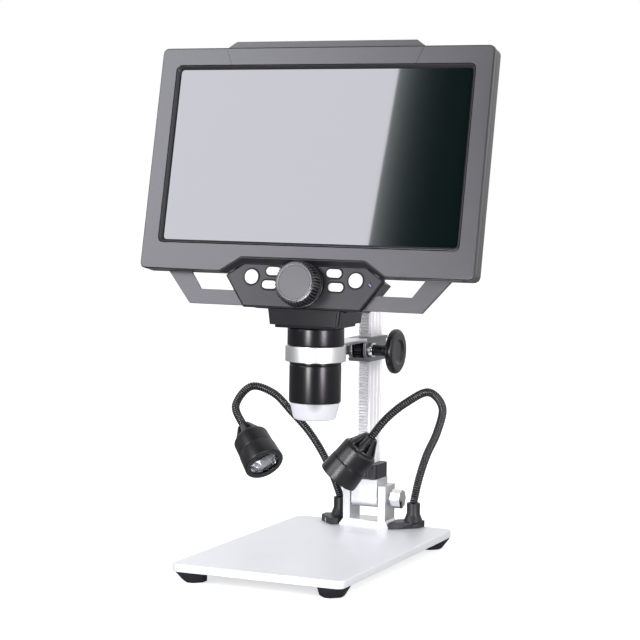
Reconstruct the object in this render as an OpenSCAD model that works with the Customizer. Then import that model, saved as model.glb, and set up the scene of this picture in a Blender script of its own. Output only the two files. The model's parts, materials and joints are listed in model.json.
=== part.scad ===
// Desk-stand digital microscope: a display head with an optical barrel rides on a
// rack-and-pinion column that tilts on a metal base plate, beside two gooseneck lamps.
// Millimetres, +Z up. The origin is on the table under the middle of the base plate,
// +X points to the right of a person who faces the screen and +Y points away from them.

/* [Base plate] */
// Width of the base plate from side to side
plate_w = 114; // [108:1:140]
// Depth of the base plate from front to back
plate_d = 190; // [186:1:230]
// Thickness of the base plate
plate_t = 5; // [4:0.5:7]
// Corner radius of the base plate
plate_r = 5; // [2:0.5:9]
// Height of a rubber foot
foot_h = 7; // [5:0.5:12]
// Width of a rubber foot where it meets the plate
foot_w = 18.5; // [14:0.5:22]
// Depth of a rubber foot where it meets the plate
foot_d = 19; // [14:0.5:22]
// How far the foot's outer sides lean in towards the table
foot_lean = 4.5; // [1:0.5:6]

/* [Tilt bracket] */
// Distance of the tilt axis in front of the plate's rear edge
tilt_back = 11; // [9:1:15]
// Height of the tilt axis above the plate
tilt_h = 19.5; // [18.5:0.5:24]
// Gap between the two pillars
bracket_gap = 20.4; // [18:0.2:22]
// Thickness of one pillar
pillar_t = 5.3; // [4:0.1:6]
// Depth of the bracket from front to back
bracket_d = 18; // [14:1:20]
// Height of the pillars above the tilt axis
pillar_rise = 9; // [7.5:0.5:12]
// Thickness of the bar across the bottom of the bracket
bracket_bar = 4.7; // [4:0.1:6]
// Width of the flare at each end of the bottom bar
bracket_flare = 2.8; // [1:0.2:4]
// Diameter of the tilt screw's shank
tilt_screw_d = 6; // [4:0.5:8]
// Diameter of the tilt screw's thumb head
tilt_head_d = 13; // [10:0.5:15]
// Thickness of the tilt screw's thumb head
tilt_head_t = 7; // [5:0.5:8]

/* [Column] */
// Width of the column seen from the front
column_w = 9; // [8:0.5:11]
// Depth of the column from front to back
column_d = 20; // [17:0.5:22]
// Top of the column above the plate
column_top = 225; // [210:1:240]
// Height of the tilt block above the tilt axis
block_rise = 13.5; // [12:0.5:18]
// Height of the black collar at the foot of the column
collar_h = 10; // [8:1:14]
// Width of the rack
rack_w = 6; // [4:0.5:7]
// Spacing of the rack's teeth
rack_pitch = 2; // [1.8:0.1:2.4]
// Height of a rack tooth above its pitch line
tooth_tip = 0.6; // [0.5:0.05:0.7]
// Depth of a rack tooth below its pitch line
tooth_root = 0.8; // [0.75:0.05:0.9]

/* [Carriage and height drive] */
// Height of the middle of the carriage above the plate
carriage_z = 121.3; // [110:0.1:130]
// Height of the carriage from its bottom to its top
carriage_h = 16; // [15.5:0.5:20]
// Thickness of the carriage's side walls
carriage_wall = 1.85; // [1.5:0.05:2.5]
// How far the carriage's flanges stand out of its side walls
flange_out = 1; // [0.5:0.1:1.5]
// Thickness of the carriage's flanges
flange_t = 2.2; // [1.5:0.1:3]
// Thickness of the wall behind the column
carriage_back = 2.4; // [2:0.1:4]
// Depth of the carriage in front of the column
carriage_nose = 14; // [13:0.5:16]
// Teeth on the pinion
pinion_teeth = 17; // [15:1:18]
// Width of the pinion
pinion_w = 5; // [3:0.5:5]
// Diameter of the pinion shaft
pinion_shaft_d = 3.5; // [3:0.1:4]
// Diameter of the height knob's disc
knob_d = 29.6; // [24:0.2:34]
// Thickness of the height knob's disc
knob_t = 4.9; // [3:0.1:7]
// Outer face of the height knob, to the right of the column's middle
knob_x = 27.7; // [26:0.1:34]
// Diameter of the knob's neck
knob_neck_d = 7.8; // [6:0.2:9]
// Length of the silver bushing between the carriage and the knob
bushing_l = 3.6; // [2:0.1:5]
// Diameter of the silver bushing
bushing_d = 9.6; // [8:0.1:11]

/* [Barrel] */
// Distance of the barrel's axis in front of the middle of the plate
barrel_y = 9.5; // [8:0.5:12]
// Bottom of the diffuser cap above the plate
cap_z = 82.5; // [78:0.5:86]
// Height of the diffuser cap
cap_h = 11; // [9:0.5:14]
// Height of the lower barrel below the support ring
lower_barrel_h = 26.1; // [20:0.1:30]
// Height of the support ring
ring_h = 10; // [7:0.5:12]
// Height of the upper barrel above the support ring
upper_barrel_h = 11.7; // [9:0.1:16]
// Diameter of the upper barrel
upper_barrel_d = 36; // [35:0.5:37]
// Diameter of the lower barrel
lower_barrel_d = 33; // [32.5:0.1:33.4]
// Outer diameter of the support ring
ring_d = 38.4; // [37:0.2:41]
// Bore of the support ring
ring_bore_d = 34; // [33.8:0.1:34.4]
// Bore of the barrel that the lens cell slides in
barrel_bore_d = 29.14; // [28:0.02:29.4]
// Diameter of the diffuser cap at its bottom
cap_bottom_d = 27.6; // [24:0.2:30]
// Wall of the diffuser cap
cap_wall = 1.6; // [1:0.1:2]
// Diameter of the window in the bottom of the diffuser cap
cap_window_d = 14; // [10:0.5:18]
// Diameter of the objective lens
lens_d = 15; // [12:0.5:18]
// Thickness of the arm's top plate and side rib
arm_t = 2.3; // [1.8:0.1:3]

/* [Optics box] */
// Width of the box at its top
box_w = 47.6; // [44:0.2:52]
// How much narrower each side is at the bottom
box_draft = 1.5; // [0.5:0.1:3]
// Front face of the box, in front of the middle of the plate
box_front = 31.3; // [30:0.1:33]
// Rear face of the box, behind the middle of the plate
box_rear = 10.5; // [9:0.5:14]
// Wall of the optics box
box_wall = 2; // [1.5:0.1:2.5]
// Height of the inset lip under the box
lip_h = 2; // [1:0.1:3]
// Inset of the lip under the box
lip_inset = 2.5; // [1:0.1:4]
// Height of the box's rear face
box_rear_h = 24; // [18:1:30]

/* [Display] */
// Width of the visible screen
screen_w = 200; // [180:1:210]
// Height of the visible screen
screen_h = 111.5; // [100:0.5:120]
// Height of the bezel's bottom edge above the plate
display_z = 175.79; // [174:0.01:178]
// Distance of the bezel's bottom edge in front of the middle of the plate
display_y = 34.77; // [33.5:0.01:36.5]
// Backward lean of the display in degrees
screen_lean = 12; // [8:0.5:15]
// Width of the bezel beside the screen
bezel_side = 13.3; // [11:0.1:18]
// Width of the bezel above the screen
bezel_top = 13.6; // [12:0.1:18]
// Width of the bezel below the screen
bezel_bottom = 19.4; // [18:0.1:24]
// Depth of the bezel's straight side
bezel_d = 4.5; // [4.4:0.1:6]
// Corner radius of the bezel
bezel_r = 4.5; // [3:0.5:8]
// Depth of the glass behind the bezel's face
glass_set = 3; // [2:0.1:3]
// How far the sloped edge widens the opening at the bezel's face
glass_slope = 3; // [1:0.5:4]
// Thickness of the cover glass
glass_t = 1.1; // [0.7:0.1:1.2]
// Thickness of the panel behind the glass
lcd_t = 4.5; // [3:0.1:5.5]
// Depth of the rear shell's straight side
shell_side = 7.5; // [7:0.5:10]
// Depth of the rear shell's tapered back
shell_taper = 15; // [12:1:20]
// How far the back tapers in on each side
shell_inset = 25; // [18:1:32]
// Wall of the rear shell
shell_wall = 2.2; // [1.8:0.1:3]
// Height of the ridge above the bezel
ridge_h = 4.4; // [2:0.2:6]
// Half width of the ridge at its foot
ridge_half = 68; // [50:1:90]

/* [Control panel] */
// Depth of the control panel behind the bezel's face
panel_set = 5; // [5:0.1:6]
// Thickness of the control panel
panel_t = 2.5; // [1.5:0.1:2.6]
// Half width of the panel's top edge
panel_top_half = 41.5; // [40:0.5:44]
// Half width of the panel at its two corners
panel_half = 52.8; // [50:0.2:55]
// Half width of the panel's bottom edge
panel_bottom_half = 39.4; // [37:0.2:42]
// Height of the panel from its top edge to its bottom edge
panel_h = 26.5; // [26:0.1:28]
// Height of the panel's corners below its top edge
panel_corner = 7.9; // [7:0.1:9]
// Half width of the wings at their outer corners
wing_half = 96; // [90:1:104]
// Half width of the wings at their bottom corners
wing_bottom_half = 79; // [76:1:84]
// Thickness of the wings
wing_t = 2.6; // [2:0.1:4]
// Height of the openings in the wings
wing_open_h = 10.5; // [8:0.5:12]
// Depth of the housing behind the control panel
housing_d = 16; // [14:0.5:18]
// Wall of the housing behind the control panel
housing_wall = 2; // [1.5:0.1:2.5]
// Diameter of the round buttons
round_button_d = 9.2; // [7:0.2:10]
// Length of the oval buttons
oval_button_l = 10; // [8:0.2:10.6]
// Height of the oval buttons
oval_button_h = 5.2; // [4:0.2:5.6]
// Travel of a button
button_travel = 0.6; // [0.4:0.1:0.8]
// Diameter of the focus wheel over its knurling
wheel_d = 28.6; // [26:0.2:29.4]
// How far the focus wheel's face stands out of the control panel
wheel_proud = 13; // [10:0.5:15]
// Grooves around the focus wheel
wheel_grooves = 44; // [30:1:60]
// Diameter of the focus wheel's shaft
wheel_shaft_d = 6; // [5:0.2:8]
// Diameter of the drive roller at the end of the shaft
roller_d = 5; // [4:0.2:5.8]

/* [Gooseneck lamps] */
// Diameter of a gooseneck
neck_d = 5.5; // [4.5:0.1:6]
// Thickness of a lamp foot
lamp_foot_t = 4.5; // [3:0.1:5]
// Height of a lamp foot's socket above the plate
socket_h = 17; // [15:0.5:18]
// Diameter of a lamp foot's socket
socket_d = 9; // [8.2:0.1:9.4]
// Diameter of a lamp head
lamp_d = 26.8; // [22:0.2:30]
// Length of a lamp head without its finned cone
lamp_l = 24.7; // [20:0.1:30]
// Length of a lamp's finned cone
boot_l = 10.6; // [8:0.05:14]
// Number of fins around a lamp's cone
boot_fins = 8; // [6:1:12]
// Diameter of the opening that the lamp's lens sits in
lamp_mouth_d = 19.6; // [15:0.2:22]
// Edge length of the lamp's square emitter
emitter_w = 4; // [2:0.5:5]

/* [Fits] */
// Radial clearance of shafts and sliding cells in their bores
run_gap = 0.05; // [0.02:0.01:0.1]
// Clearance of sliding flat faces
slide_gap = 0.05; // [0.03:0.01:0.1]
// Clearance around parts that move past each other
loose_gap = 0.3; // [0.2:0.05:0.5]

/* [Hidden] */
$fn = 48;
eps = 0.01;

// Heights above the table
plate_top = foot_h + plate_t;
tilt_y = plate_d / 2 - tilt_back;
tilt_z = plate_top + tilt_h;
bracket_top = tilt_z + pillar_rise;
block_top = tilt_z + block_rise;
collar_top = block_top + collar_h;
column_end = plate_top + column_top;
carriage_mid = plate_top + carriage_z;
carriage_bottom = carriage_mid - carriage_h / 2;
carriage_top = carriage_mid + carriage_h / 2;
cap_bottom = plate_top + cap_z;
lower_bottom = cap_bottom + cap_h;
ring_bottom = lower_bottom + lower_barrel_h;
ring_top = ring_bottom + ring_h;
barrel_top = ring_top + upper_barrel_h;
box_bottom = barrel_top + lip_h;

// Tilt bracket and column
bracket_w = bracket_gap + 2 * pillar_t;
block_w = bracket_gap - 4 * loose_gap;
block_round = 6.5;
column_front = tilt_y - 2 - column_d / 2;
column_back = column_front + column_d;
groove_w = 0.8;
groove_deep = 0.6;
seat_deep = 8;
// The column's foot is cut back in front, so that the block's front covers it
block_front = tilt_y - bracket_d / 2 - 0.5;
seat_front = block_front + 1.5;
collar_wall = 1.3;
collar_front = column_front - collar_wall;

// Rack and pinion: the pinion's axis follows from its pitch radius
pinion_r = pinion_teeth * rack_pitch / (2 * PI);
rack_back = column_front;
rack_body = 1.09;
pitch_y = rack_back - rack_body - tooth_root;
pinion_y = pitch_y - pinion_r;
tooth_foot_w = rack_pitch * 0.62;
tooth_tip_w = rack_pitch * 0.22;
pinion_z = carriage_mid - 0.1;
rack_teeth = floor((column_end - 8 - collar_top) / rack_pitch);
// One of the rack's teeth sits level with the pinion's axis
rack_phase = (pinion_z - collar_top) / rack_pitch - floor((pinion_z - collar_top) / rack_pitch);

// Carriage
carriage_front = column_front - carriage_nose;
web_half = column_w / 2 + slide_gap + carriage_wall;
flange_half = web_half + flange_out;
carriage_rear = column_back + slide_gap + carriage_back;
knob_neck_x = web_half + bushing_l + loose_gap;

// Barrel
neck_ring_d = ring_bore_d - 2 * run_gap;
top_neck_d = upper_barrel_d - 3.4;
cell_d = barrel_bore_d - 2 * run_gap;
spigot_l = 4;
spigot_d = lower_barrel_d - 1.6;
flange_d = top_neck_d + 3;
stem_w = 4;
stem_x = cell_d / 2 - 2.6;
roller_gap = 0.08;

// Display: its frame has U along +X, V up the screen and N out of the screen
bezel_w = screen_w + 2 * bezel_side;
bezel_hi = screen_h / 2 + bezel_top;
bezel_lo = -screen_h / 2 - bezel_bottom;
screen_y = display_y + bezel_lo * sin(screen_lean);
screen_z = display_z - bezel_lo * cos(screen_lean);
shell_front = -bezel_d;
shell_edge = shell_front - shell_side;
shell_back = shell_edge - shell_taper;
lcd_border = 2.5;
glass_front = -glass_set;
lcd_front = glass_front - glass_t;
lcd_back = lcd_front - lcd_t;
post_d = 7;
board_t = 1.6;
cover_screw_u = bezel_w / 2 - 5.4;

// Control panel
panel_hi = bezel_lo + 5.9;
panel_lo = panel_hi - panel_h;
panel_face = -panel_set;
panel_back = panel_face - panel_t;
wing_face = panel_back - 0.5;
housing_back = panel_back - housing_d;
wheel_v = bezel_lo - 6.5;
shaft_end = housing_back - 8;
round_at = [35.4, bezel_lo - 2.3];
oval_upper_at = [20.5, bezel_lo + 1.7];
oval_lower_at = [22.5, bezel_lo - 6.9];
indicator_at = [45, bezel_lo - 4.4];
button_proud = 0.7;
button_flange = 0.9;
button_body_back = panel_back - 0.8;
stem_reach = 0.5;
stem_l = 1.5;
switch_room = 1.2;
board_face = button_body_back - button_travel - switch_room;

// Goosenecks: hand-chosen route points, with Y from the tilt axis and heights above the plate
neck_right_root = [31, 4];
neck_left_root = [-22.5, 3.5];
neck_right_route = [[35, 3, 34], [42, -2, 51], [52, -10, 68], [59, -20, 86], [54, -33, 97]];
neck_right_end = [[44, -47, 91], [34, -56, 81], [25, -59.7, 68.6]];
neck_left_route = [[-27, 1, 31], [-34, -2, 47], [-43, -6, 62], [-53, -12, 75], [-63, -20, 88],
    [-75, -31, 93]];
neck_left_end = [[-80.3, -43.6, 80.8], [-70, -50.6, 67.8]];
lamp_right_aim = [-0.607, -0.123, -0.785];
lamp_left_aim = [0.6485, -0.449, -0.615];
neck_sides = 12;

// ---------- shared shapes ----------

// A plate with rounded corners, centred in X and Y
module rounded_plate(w, d, h, r) {
    linear_extrude(h) {
        square([w - 2 * r, d], center = true);
        square([w, d - 2 * r], center = true);
        for (x = [-1, 1], y = [-1, 1])
            translate([x * (w / 2 - r), y * (d / 2 - r)]) circle(r);
    }
}

// Puts its children into the display's frame
module on_display() {
    translate([0, -screen_y, plate_top + screen_z])
        rotate([90 - screen_lean, 0, 0]) children();
}

// Points its children's +Z along a direction
module point_along(at, direction) {
    translate(at)
        rotate([0, acos(direction[2] / norm(direction)), atan2(direction[1], direction[0])])
            children();
}

// A bar with half-round ends along X
module oval_bar(l, h, t) {
    linear_extrude(t) {
        square([l - h, h], center = true);
        for (x = [-1, 1]) translate([x * (l - h) / 2, 0]) circle(h / 2);
    }
}

// A YZ outline given as [y, z] points, as a slab from x0 to x1
module side_slab(points, x0, x1) {
    translate([x0, 0, 0]) rotate([90, 0, 90]) linear_extrude(x1 - x0) polygon(points);
}

// Smooth curve through the points of a route, with a few steps in each span
function spline(p, i, t) =
    let (a = p[max(i - 1, 0)], b = p[i], c = p[i + 1], d = p[min(i + 2, len(p) - 1)])
    0.5 * (2 * b + (c - a) * t + (2 * a - 5 * b + 4 * c - d) * t * t
        + (3 * b - a - 3 * c + d) * t * t * t);
function smooth_route(p, steps) = concat(
    [for (i = [0:len(p) - 2], k = [0:steps - 1]) spline(p, i, k / steps)], [p[len(p) - 1]]);
function lifted(p) = [for (q = p) [q[0], q[1] + tilt_y, q[2] + plate_top]];
function unit(v) = v / norm(v);
function tangent(p, i) = unit(p[min(i + 1, len(p) - 1)] - p[max(i - 1, 0)]);

// A tube along a path: flat or rounded at each end, so that it can turn in a socket
module tube(path, d, side, round_start, round_end) {
    last = len(path) - 1;
    caps = 4;
    start_caps = round_start ? [for (k = [0:caps - 1]) -90 + k * 90 / caps] : [];
    end_caps = round_end ? [for (k = [1:caps]) k * 90 / caps] : [];
    centres = concat(
        [for (a = start_caps) path[0] + sin(a) * d / 2 * tangent(path, 0)], path,
        [for (a = end_caps) path[last] + sin(a) * d / 2 * tangent(path, last)]);
    radii = concat([for (a = start_caps) max(cos(a), 0.12) * d / 2], [for (q = path) d / 2],
        [for (a = end_caps) max(cos(a), 0.12) * d / 2]);
    directions = concat([for (a = start_caps) tangent(path, 0)],
        [for (i = [0:last]) tangent(path, i)], [for (a = end_caps) tangent(path, last)]);
    rings = len(centres);
    points = [for (i = [0:rings - 1], k = [0:neck_sides - 1])
        let (u = unit(cross(directions[i], side)), v = cross(directions[i], u),
            a = 360 * k / neck_sides)
        centres[i] + radii[i] * (cos(a) * u + sin(a) * v)];
    faces = concat(
        [[for (k = [0:neck_sides - 1]) neck_sides - 1 - k]],
        [for (i = [0:rings - 2], k = [0:neck_sides - 1])
            let (n = (k + 1) % neck_sides)
            [i * neck_sides + k, i * neck_sides + n, (i + 1) * neck_sides + n,
                (i + 1) * neck_sides + k]],
        [[for (k = [0:neck_sides - 1]) (rings - 1) * neck_sides + k]]);
    polyhedron(points, [for (f = faces) [for (k = [len(f) - 1:-1:0]) f[k]]], convexity = 6);
}

// ---------- stand ----------

foot_x = plate_w / 2 - foot_w / 2;
foot_y = plate_d / 2 - foot_d / 2;
screw_d = 3;
screw_head_d = 6;
screw_head_h = 2.5;
bracket_screw_x = 6.5;
foot_screw_right = [25, -4];
foot_screw_left = [-29, -4];
// All screws through the plate, with Y from the tilt axis
screw_places = [[-bracket_screw_x, 0], [bracket_screw_x, 0], foot_screw_right, foot_screw_left];

module base_plate() color("gainsboro") difference() {
    translate([0, 0, foot_h]) rounded_plate(plate_w, plate_d, plate_t, plate_r);
    for (p = screw_places) translate([p[0], tilt_y + p[1], foot_h - 1]) {
        cylinder(d = screw_d, h = plate_t + 2);
        cylinder(d = screw_head_d, h = screw_head_h + 1);
    }
}

// One tapered foot: its outer sides lean in, its inner sides stand upright
module foot() {
    r = plate_r;
    hull() for (x = [-1, 1], y = [-1, 1], z = [0, 1]) {
        lean_x = z == 0 && x == 1 ? foot_lean : 0;
        lean_y = z == 0 && y == 1 ? foot_lean : 0;
        translate([x * (foot_w / 2 - r) - lean_x, y * (foot_d / 2 - r) - lean_y,
            z * (foot_h - 0.5)]) cylinder(r = r, h = 0.5, $fn = 32);
    }
}

module feet() color("dimgray") for (x = [0, 1], y = [0, 1])
    mirror([x, 0, 0]) mirror([0, y, 0]) translate([foot_x, foot_y, 0]) foot();

module tilt_bracket() color("white") difference() {
    union() {
        for (x = [-1, 1])
            translate([x * (bracket_w - pillar_t) / 2 - pillar_t / 2, tilt_y - bracket_d / 2,
                plate_top]) cube([pillar_t, bracket_d, bracket_top - plate_top]);
        translate([-bracket_w / 2, tilt_y - bracket_d / 2, plate_top])
            cube([bracket_w, bracket_d, bracket_bar]);
        translate([0, tilt_y + bracket_d / 2, plate_top]) rotate([90, 0, 0])
            linear_extrude(bracket_d) polygon([
                [-bracket_w / 2 - bracket_flare, 0], [bracket_w / 2 + bracket_flare, 0],
                [bracket_w / 2 + bracket_flare, 0.8], [bracket_w / 2, bracket_bar],
                [-bracket_w / 2, bracket_bar], [-bracket_w / 2 - bracket_flare, 0.8]]);
    }
    translate([-bracket_w, tilt_y, tilt_z]) rotate([0, 90, 0])
        cylinder(d = tilt_screw_d + 2 * run_gap, h = 2 * bracket_w);
    for (x = [-1, 1]) translate([x * bracket_screw_x, tilt_y, plate_top - 1])
        cylinder(d = screw_d, h = bracket_bar);
}

module stand_screws() color("silver") for (p = screw_places)
    translate([p[0], tilt_y + p[1], foot_h]) {
        translate([0, 0, 0.3]) cylinder(d = screw_head_d - 2 * run_gap, h = screw_head_h - 0.3);
        cylinder(d = screw_d - 2 * run_gap, h = plate_t + bracket_bar - 1.5);
    }

// A lamp foot: a low plate with a flared socket for the gooseneck, with Y from the tilt axis
socket_flare_d = socket_d * 1.47;
socket_flare_h = 5.2;
module lamp_foot(outline, root, screw) translate([0, tilt_y, plate_top]) difference() {
    union() {
        linear_extrude(lamp_foot_t) polygon(outline);
        translate(root) {
            translate([0, 0, lamp_foot_t - 1]) cylinder(d = socket_d, h = socket_h - lamp_foot_t + 1);
            translate([0, 0, lamp_foot_t - eps])
                cylinder(d1 = socket_flare_d, d2 = socket_d, h = socket_flare_h);
        }
    }
    translate([root[0], root[1], socket_h]) sphere(d = neck_d + 2 * loose_gap);
    translate([screw[0], screw[1], -1]) cylinder(d = screw_d, h = lamp_foot_t);
}

flange_edge = bracket_w / 2 + bracket_flare + 0.2;

module lamp_foot_right() color("dimgray")
    lamp_foot([[flange_edge, -11], [24.6, -7.5], [35.5, 3], [37, 10.5], [24, 10.5],
        [flange_edge, 5]], neck_right_root, foot_screw_right);

module lamp_foot_left() color("dimgray")
    lamp_foot([[-flange_edge, -10], [-22.6, -12.4], [-34.9, 0], [-34.9, 7], [-28, 10.2],
        [-flange_edge, 10.2]], neck_left_root, foot_screw_left);

// ---------- column ----------

tilt_head_x = bracket_w / 2 + 2;

module tilt_screw() color("silver") translate([0, tilt_y, tilt_z]) rotate([0, 90, 0]) {
    translate([0, 0, -bracket_w / 2]) cylinder(d = tilt_screw_d, h = bracket_w + 4);
    translate([0, 0, bracket_w / 2 + slide_gap]) cylinder(d = tilt_screw_d + 2.6, h = 2);
    translate([0, 0, tilt_head_x]) intersection() {
        cylinder(d = tilt_head_d, h = tilt_head_t);
        cylinder(d = (tilt_head_d - 0.8) / cos(22.5), h = tilt_head_t, $fn = 8);
    }
}

module tilt_block() color("whitesmoke") difference() {
    translate([-block_w / 2, 0, 0]) union() {
        translate([0, block_front, tilt_z]) cube([block_w, bracket_d + 1, block_rise]);
        translate([0, tilt_y, tilt_z]) rotate([0, 90, 0]) cylinder(r = block_round, h = block_w);
        translate([0, block_front, tilt_z - 2]) cube([block_w, bracket_d + 1, 3]);
        for (y = [-1, 1])
            translate([0, tilt_y + y * (bracket_d / 2 + 0.5 - 4), tilt_z - 2])
                rotate([0, 90, 0]) cylinder(r = 4, h = block_w);
    }
    translate([-bracket_w, tilt_y, tilt_z]) rotate([0, 90, 0])
        cylinder(d = tilt_screw_d + 2 * run_gap, h = 2 * bracket_w);
    translate([-column_w / 2, seat_front, block_top - seat_deep])
        cube([column_w, column_back - seat_front, seat_deep + 1]);
}

module column_collar() color("dimgray") difference() {
    translate([0, column_front + column_d / 2, block_top])
        rounded_plate(block_w + 0.8, column_d + 2 * collar_wall, collar_h, 3);
    translate([-column_w / 2, column_front, block_top - 1])
        cube([column_w, column_d, collar_h + 2]);
    for (x = [-5.2:2.6:5.2])
        translate([x - 0.5, collar_front - 1, block_top + 1.2])
            cube([1, 1 + collar_wall / 2, collar_h - 2.4]);
}

module column() color("silver") difference() {
    translate([-column_w / 2, column_front, block_top - seat_deep])
        cube([column_w, column_d, column_end - block_top + seat_deep]);
    translate([-column_w / 2 - 1, column_front - 1, block_top - seat_deep - 1])
        cube([column_w + 2, seat_front - column_front + 1, seat_deep + 1]);
    for (x = [-1, 1], y = [0.3, 0.6, 0.88])
        translate([x * column_w / 2 - groove_deep, column_front + y * column_d - groove_w / 2,
            block_top - seat_deep - 1])
            cube([2 * groove_deep, groove_w, column_end]);
}

// The rack's outline: y away from the column, z up, one trapezoid a tooth
rack_start = collar_top + (rack_phase + 1) * rack_pitch;
module rack() color("gray") side_slab(concat(
    [[rack_back, collar_top + 0.3], [pitch_y + tooth_root, collar_top + 0.3]],
    [for (i = [0:rack_teeth - 2], k = [0:3])
        [k == 0 || k == 3 ? pitch_y + tooth_root : pitch_y - tooth_tip,
            rack_start + i * rack_pitch
                + [-tooth_foot_w / 2, -tooth_tip_w / 2, tooth_tip_w / 2, tooth_foot_w / 2][k]]],
    [[pitch_y + tooth_root, column_end - 2], [rack_back, column_end - 2]]),
    -rack_w / 2, rack_w / 2);

module column_cap() color("dimgray")
    translate([0, column_front + column_d / 2, column_end])
        rounded_plate(column_w + 1, column_d + 1, 2.5, 1.5);

// ---------- carriage and height drive ----------

pocket_r = pinion_r + tooth_tip + 0.35;
window_h = 10.4;
window_x = [-3.6, 4.4];
chamfer = 5;

module carriage_outline() {
    side = [[carriage_front, carriage_bottom + chamfer],
        [carriage_front + chamfer, carriage_bottom], [carriage_rear, carriage_bottom],
        [carriage_rear, carriage_top], [carriage_front, carriage_top]];
    side_slab(side, -web_half, web_half);
    intersection() {
        side_slab(side, -flange_half, flange_half);
        union() for (z = [carriage_bottom, carriage_top - flange_t])
            translate([-flange_half, carriage_front - 1, z])
                cube([2 * flange_half, carriage_rear - carriage_front + 2, flange_t]);
    }
}

module carriage() color("whitesmoke") difference() {
    carriage_outline();
    translate([-column_w / 2 - slide_gap, column_front - slide_gap, carriage_bottom - 1])
        cube([column_w + 2 * slide_gap, column_d + 2 * slide_gap, carriage_h + 2]);
    translate([-rack_w / 2 - loose_gap, pitch_y - tooth_tip - loose_gap, carriage_bottom - 1])
        cube([rack_w + 2 * loose_gap, column_front - pitch_y + tooth_tip + loose_gap + eps,
            carriage_h + 2]);
    translate([-pinion_w / 2 - loose_gap, pinion_y, pinion_z]) rotate([0, 90, 0])
        cylinder(r = pocket_r, h = pinion_w + 2 * loose_gap);
    translate([window_x[0], carriage_front - 1, pinion_z - window_h / 2])
        cube([window_x[1] - window_x[0], pinion_y - carriage_front + 1, window_h]);
    translate([-web_half - 1, pinion_y, pinion_z]) rotate([0, 90, 0])
        cylinder(d = pinion_shaft_d + 2 * run_gap, h = 2 * web_half + 2);
    for (x = [-1, 1]) translate([x * arm_screw_x, carriage_front - 1, arm_screw_z])
        rotate([-90, 0, 0]) cylinder(d = arm_screw_d, h = 4.2);
}

arm_screw_d = 2;
arm_screw_x = flange_half - 1.7;
arm_screw_z = carriage_top - 1.25;
arm_rib_h = carriage_h - chamfer;

// The arm: the ring around the barrel, a flat top plate and a rib down its left side
module support_arm() color("whitesmoke") difference() {
    union() {
        translate([0, -barrel_y, ring_bottom]) cylinder(d = ring_d, h = ring_h, $fn = 96);
        translate([-flange_half, -barrel_y, carriage_top - arm_t])
            cube([2 * flange_half, carriage_front + barrel_y, arm_t]);
        translate([-web_half, -barrel_y, carriage_top - arm_rib_h])
            cube([arm_t, carriage_front + barrel_y, arm_rib_h - eps]);
        side_slab([[-barrel_y, ring_bottom], [ring_d / 2 - barrel_y + 9, carriage_top - arm_t],
            [-barrel_y, carriage_top - arm_t]], web_half - arm_t, web_half);
    }
    translate([0, -barrel_y, ring_bottom - 20])
        cylinder(d = ring_bore_d, h = 20 + ring_h + 20, $fn = 96);
    translate([-ring_d, -barrel_y - ring_d, ring_top])
        cube([2 * ring_d, ring_d, carriage_top]);
    translate([0, -barrel_y, ring_top])
        cylinder(d = upper_barrel_d + 1, h = 10, $fn = 96);
    for (x = [-1, 1]) translate([x * arm_screw_x, carriage_front - 5.5, arm_screw_z])
        rotate([-90, 0, 0]) cylinder(d = arm_screw_d, h = 6);
}

module arm_screws() color("silver")
    for (x = [-1, 1]) translate([x * arm_screw_x, carriage_front - 4, arm_screw_z])
        rotate([-90, 0, 0]) cylinder(d = arm_screw_d - 2 * run_gap, h = 7);

module shaft_bushing() color("silver") translate([web_half, pinion_y, pinion_z])
    rotate([0, 90, 0]) difference() {
        cylinder(d = bushing_d, h = bushing_l);
        translate([0, 0, -1]) cylinder(d = pinion_shaft_d + 2 * run_gap, h = bushing_l + 2);
    }

// The pinion's teeth: a gap faces the rack's tooth at rest
module pinion_outline() {
    polygon([for (i = [0:pinion_teeth - 1], k = [0:3])
        let (r = k == 0 || k == 3 ? pinion_r - tooth_root : pinion_r + tooth_tip,
            w = k == 0 || k == 3 ? tooth_foot_w / (pinion_r - tooth_root)
                : tooth_tip_w / (pinion_r + tooth_tip),
            a = (i + 0.5) * 360 / pinion_teeth + (k < 2 ? -1 : 1) * w * 90 / PI)
        [r * cos(a), r * sin(a)]]);
}

module pinion_shaft() color("dimgray") translate([0, pinion_y, pinion_z]) rotate([90, 0, 90]) {
    translate([0, 0, -web_half - 1.5])
        cylinder(d = pinion_shaft_d, h = web_half + 1.5 + knob_x - 2);
    translate([0, 0, -pinion_w / 2]) linear_extrude(pinion_w) pinion_outline();
}

dish_d = 16;
dish_deep = 1.2;
module height_knob() color("dimgray") translate([0, pinion_y, pinion_z]) rotate([0, 90, 0])
    difference() {
        rotate_extrude($fn = 96) polygon([
            [0, knob_neck_x], [knob_neck_d / 2, knob_neck_x],
            [knob_neck_d / 2, knob_x - knob_t - 6], [knob_neck_d / 2 + 3.2, knob_x - knob_t],
            [knob_d / 2 - 0.8, knob_x - knob_t], [knob_d / 2, knob_x - knob_t + 0.8],
            [knob_d / 2, knob_x - 0.8], [knob_d / 2 - 0.8, knob_x],
            [dish_d / 2 + 1, knob_x], [dish_d / 2, knob_x - dish_deep], [0, knob_x - dish_deep]]);
        translate([0, 0, knob_neck_x - 1])
            cylinder(d = pinion_shaft_d, h = knob_x - knob_neck_x - 1);
    }

// ---------- barrel ----------

module around_barrel() translate([0, -barrel_y, 0]) children();

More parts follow.
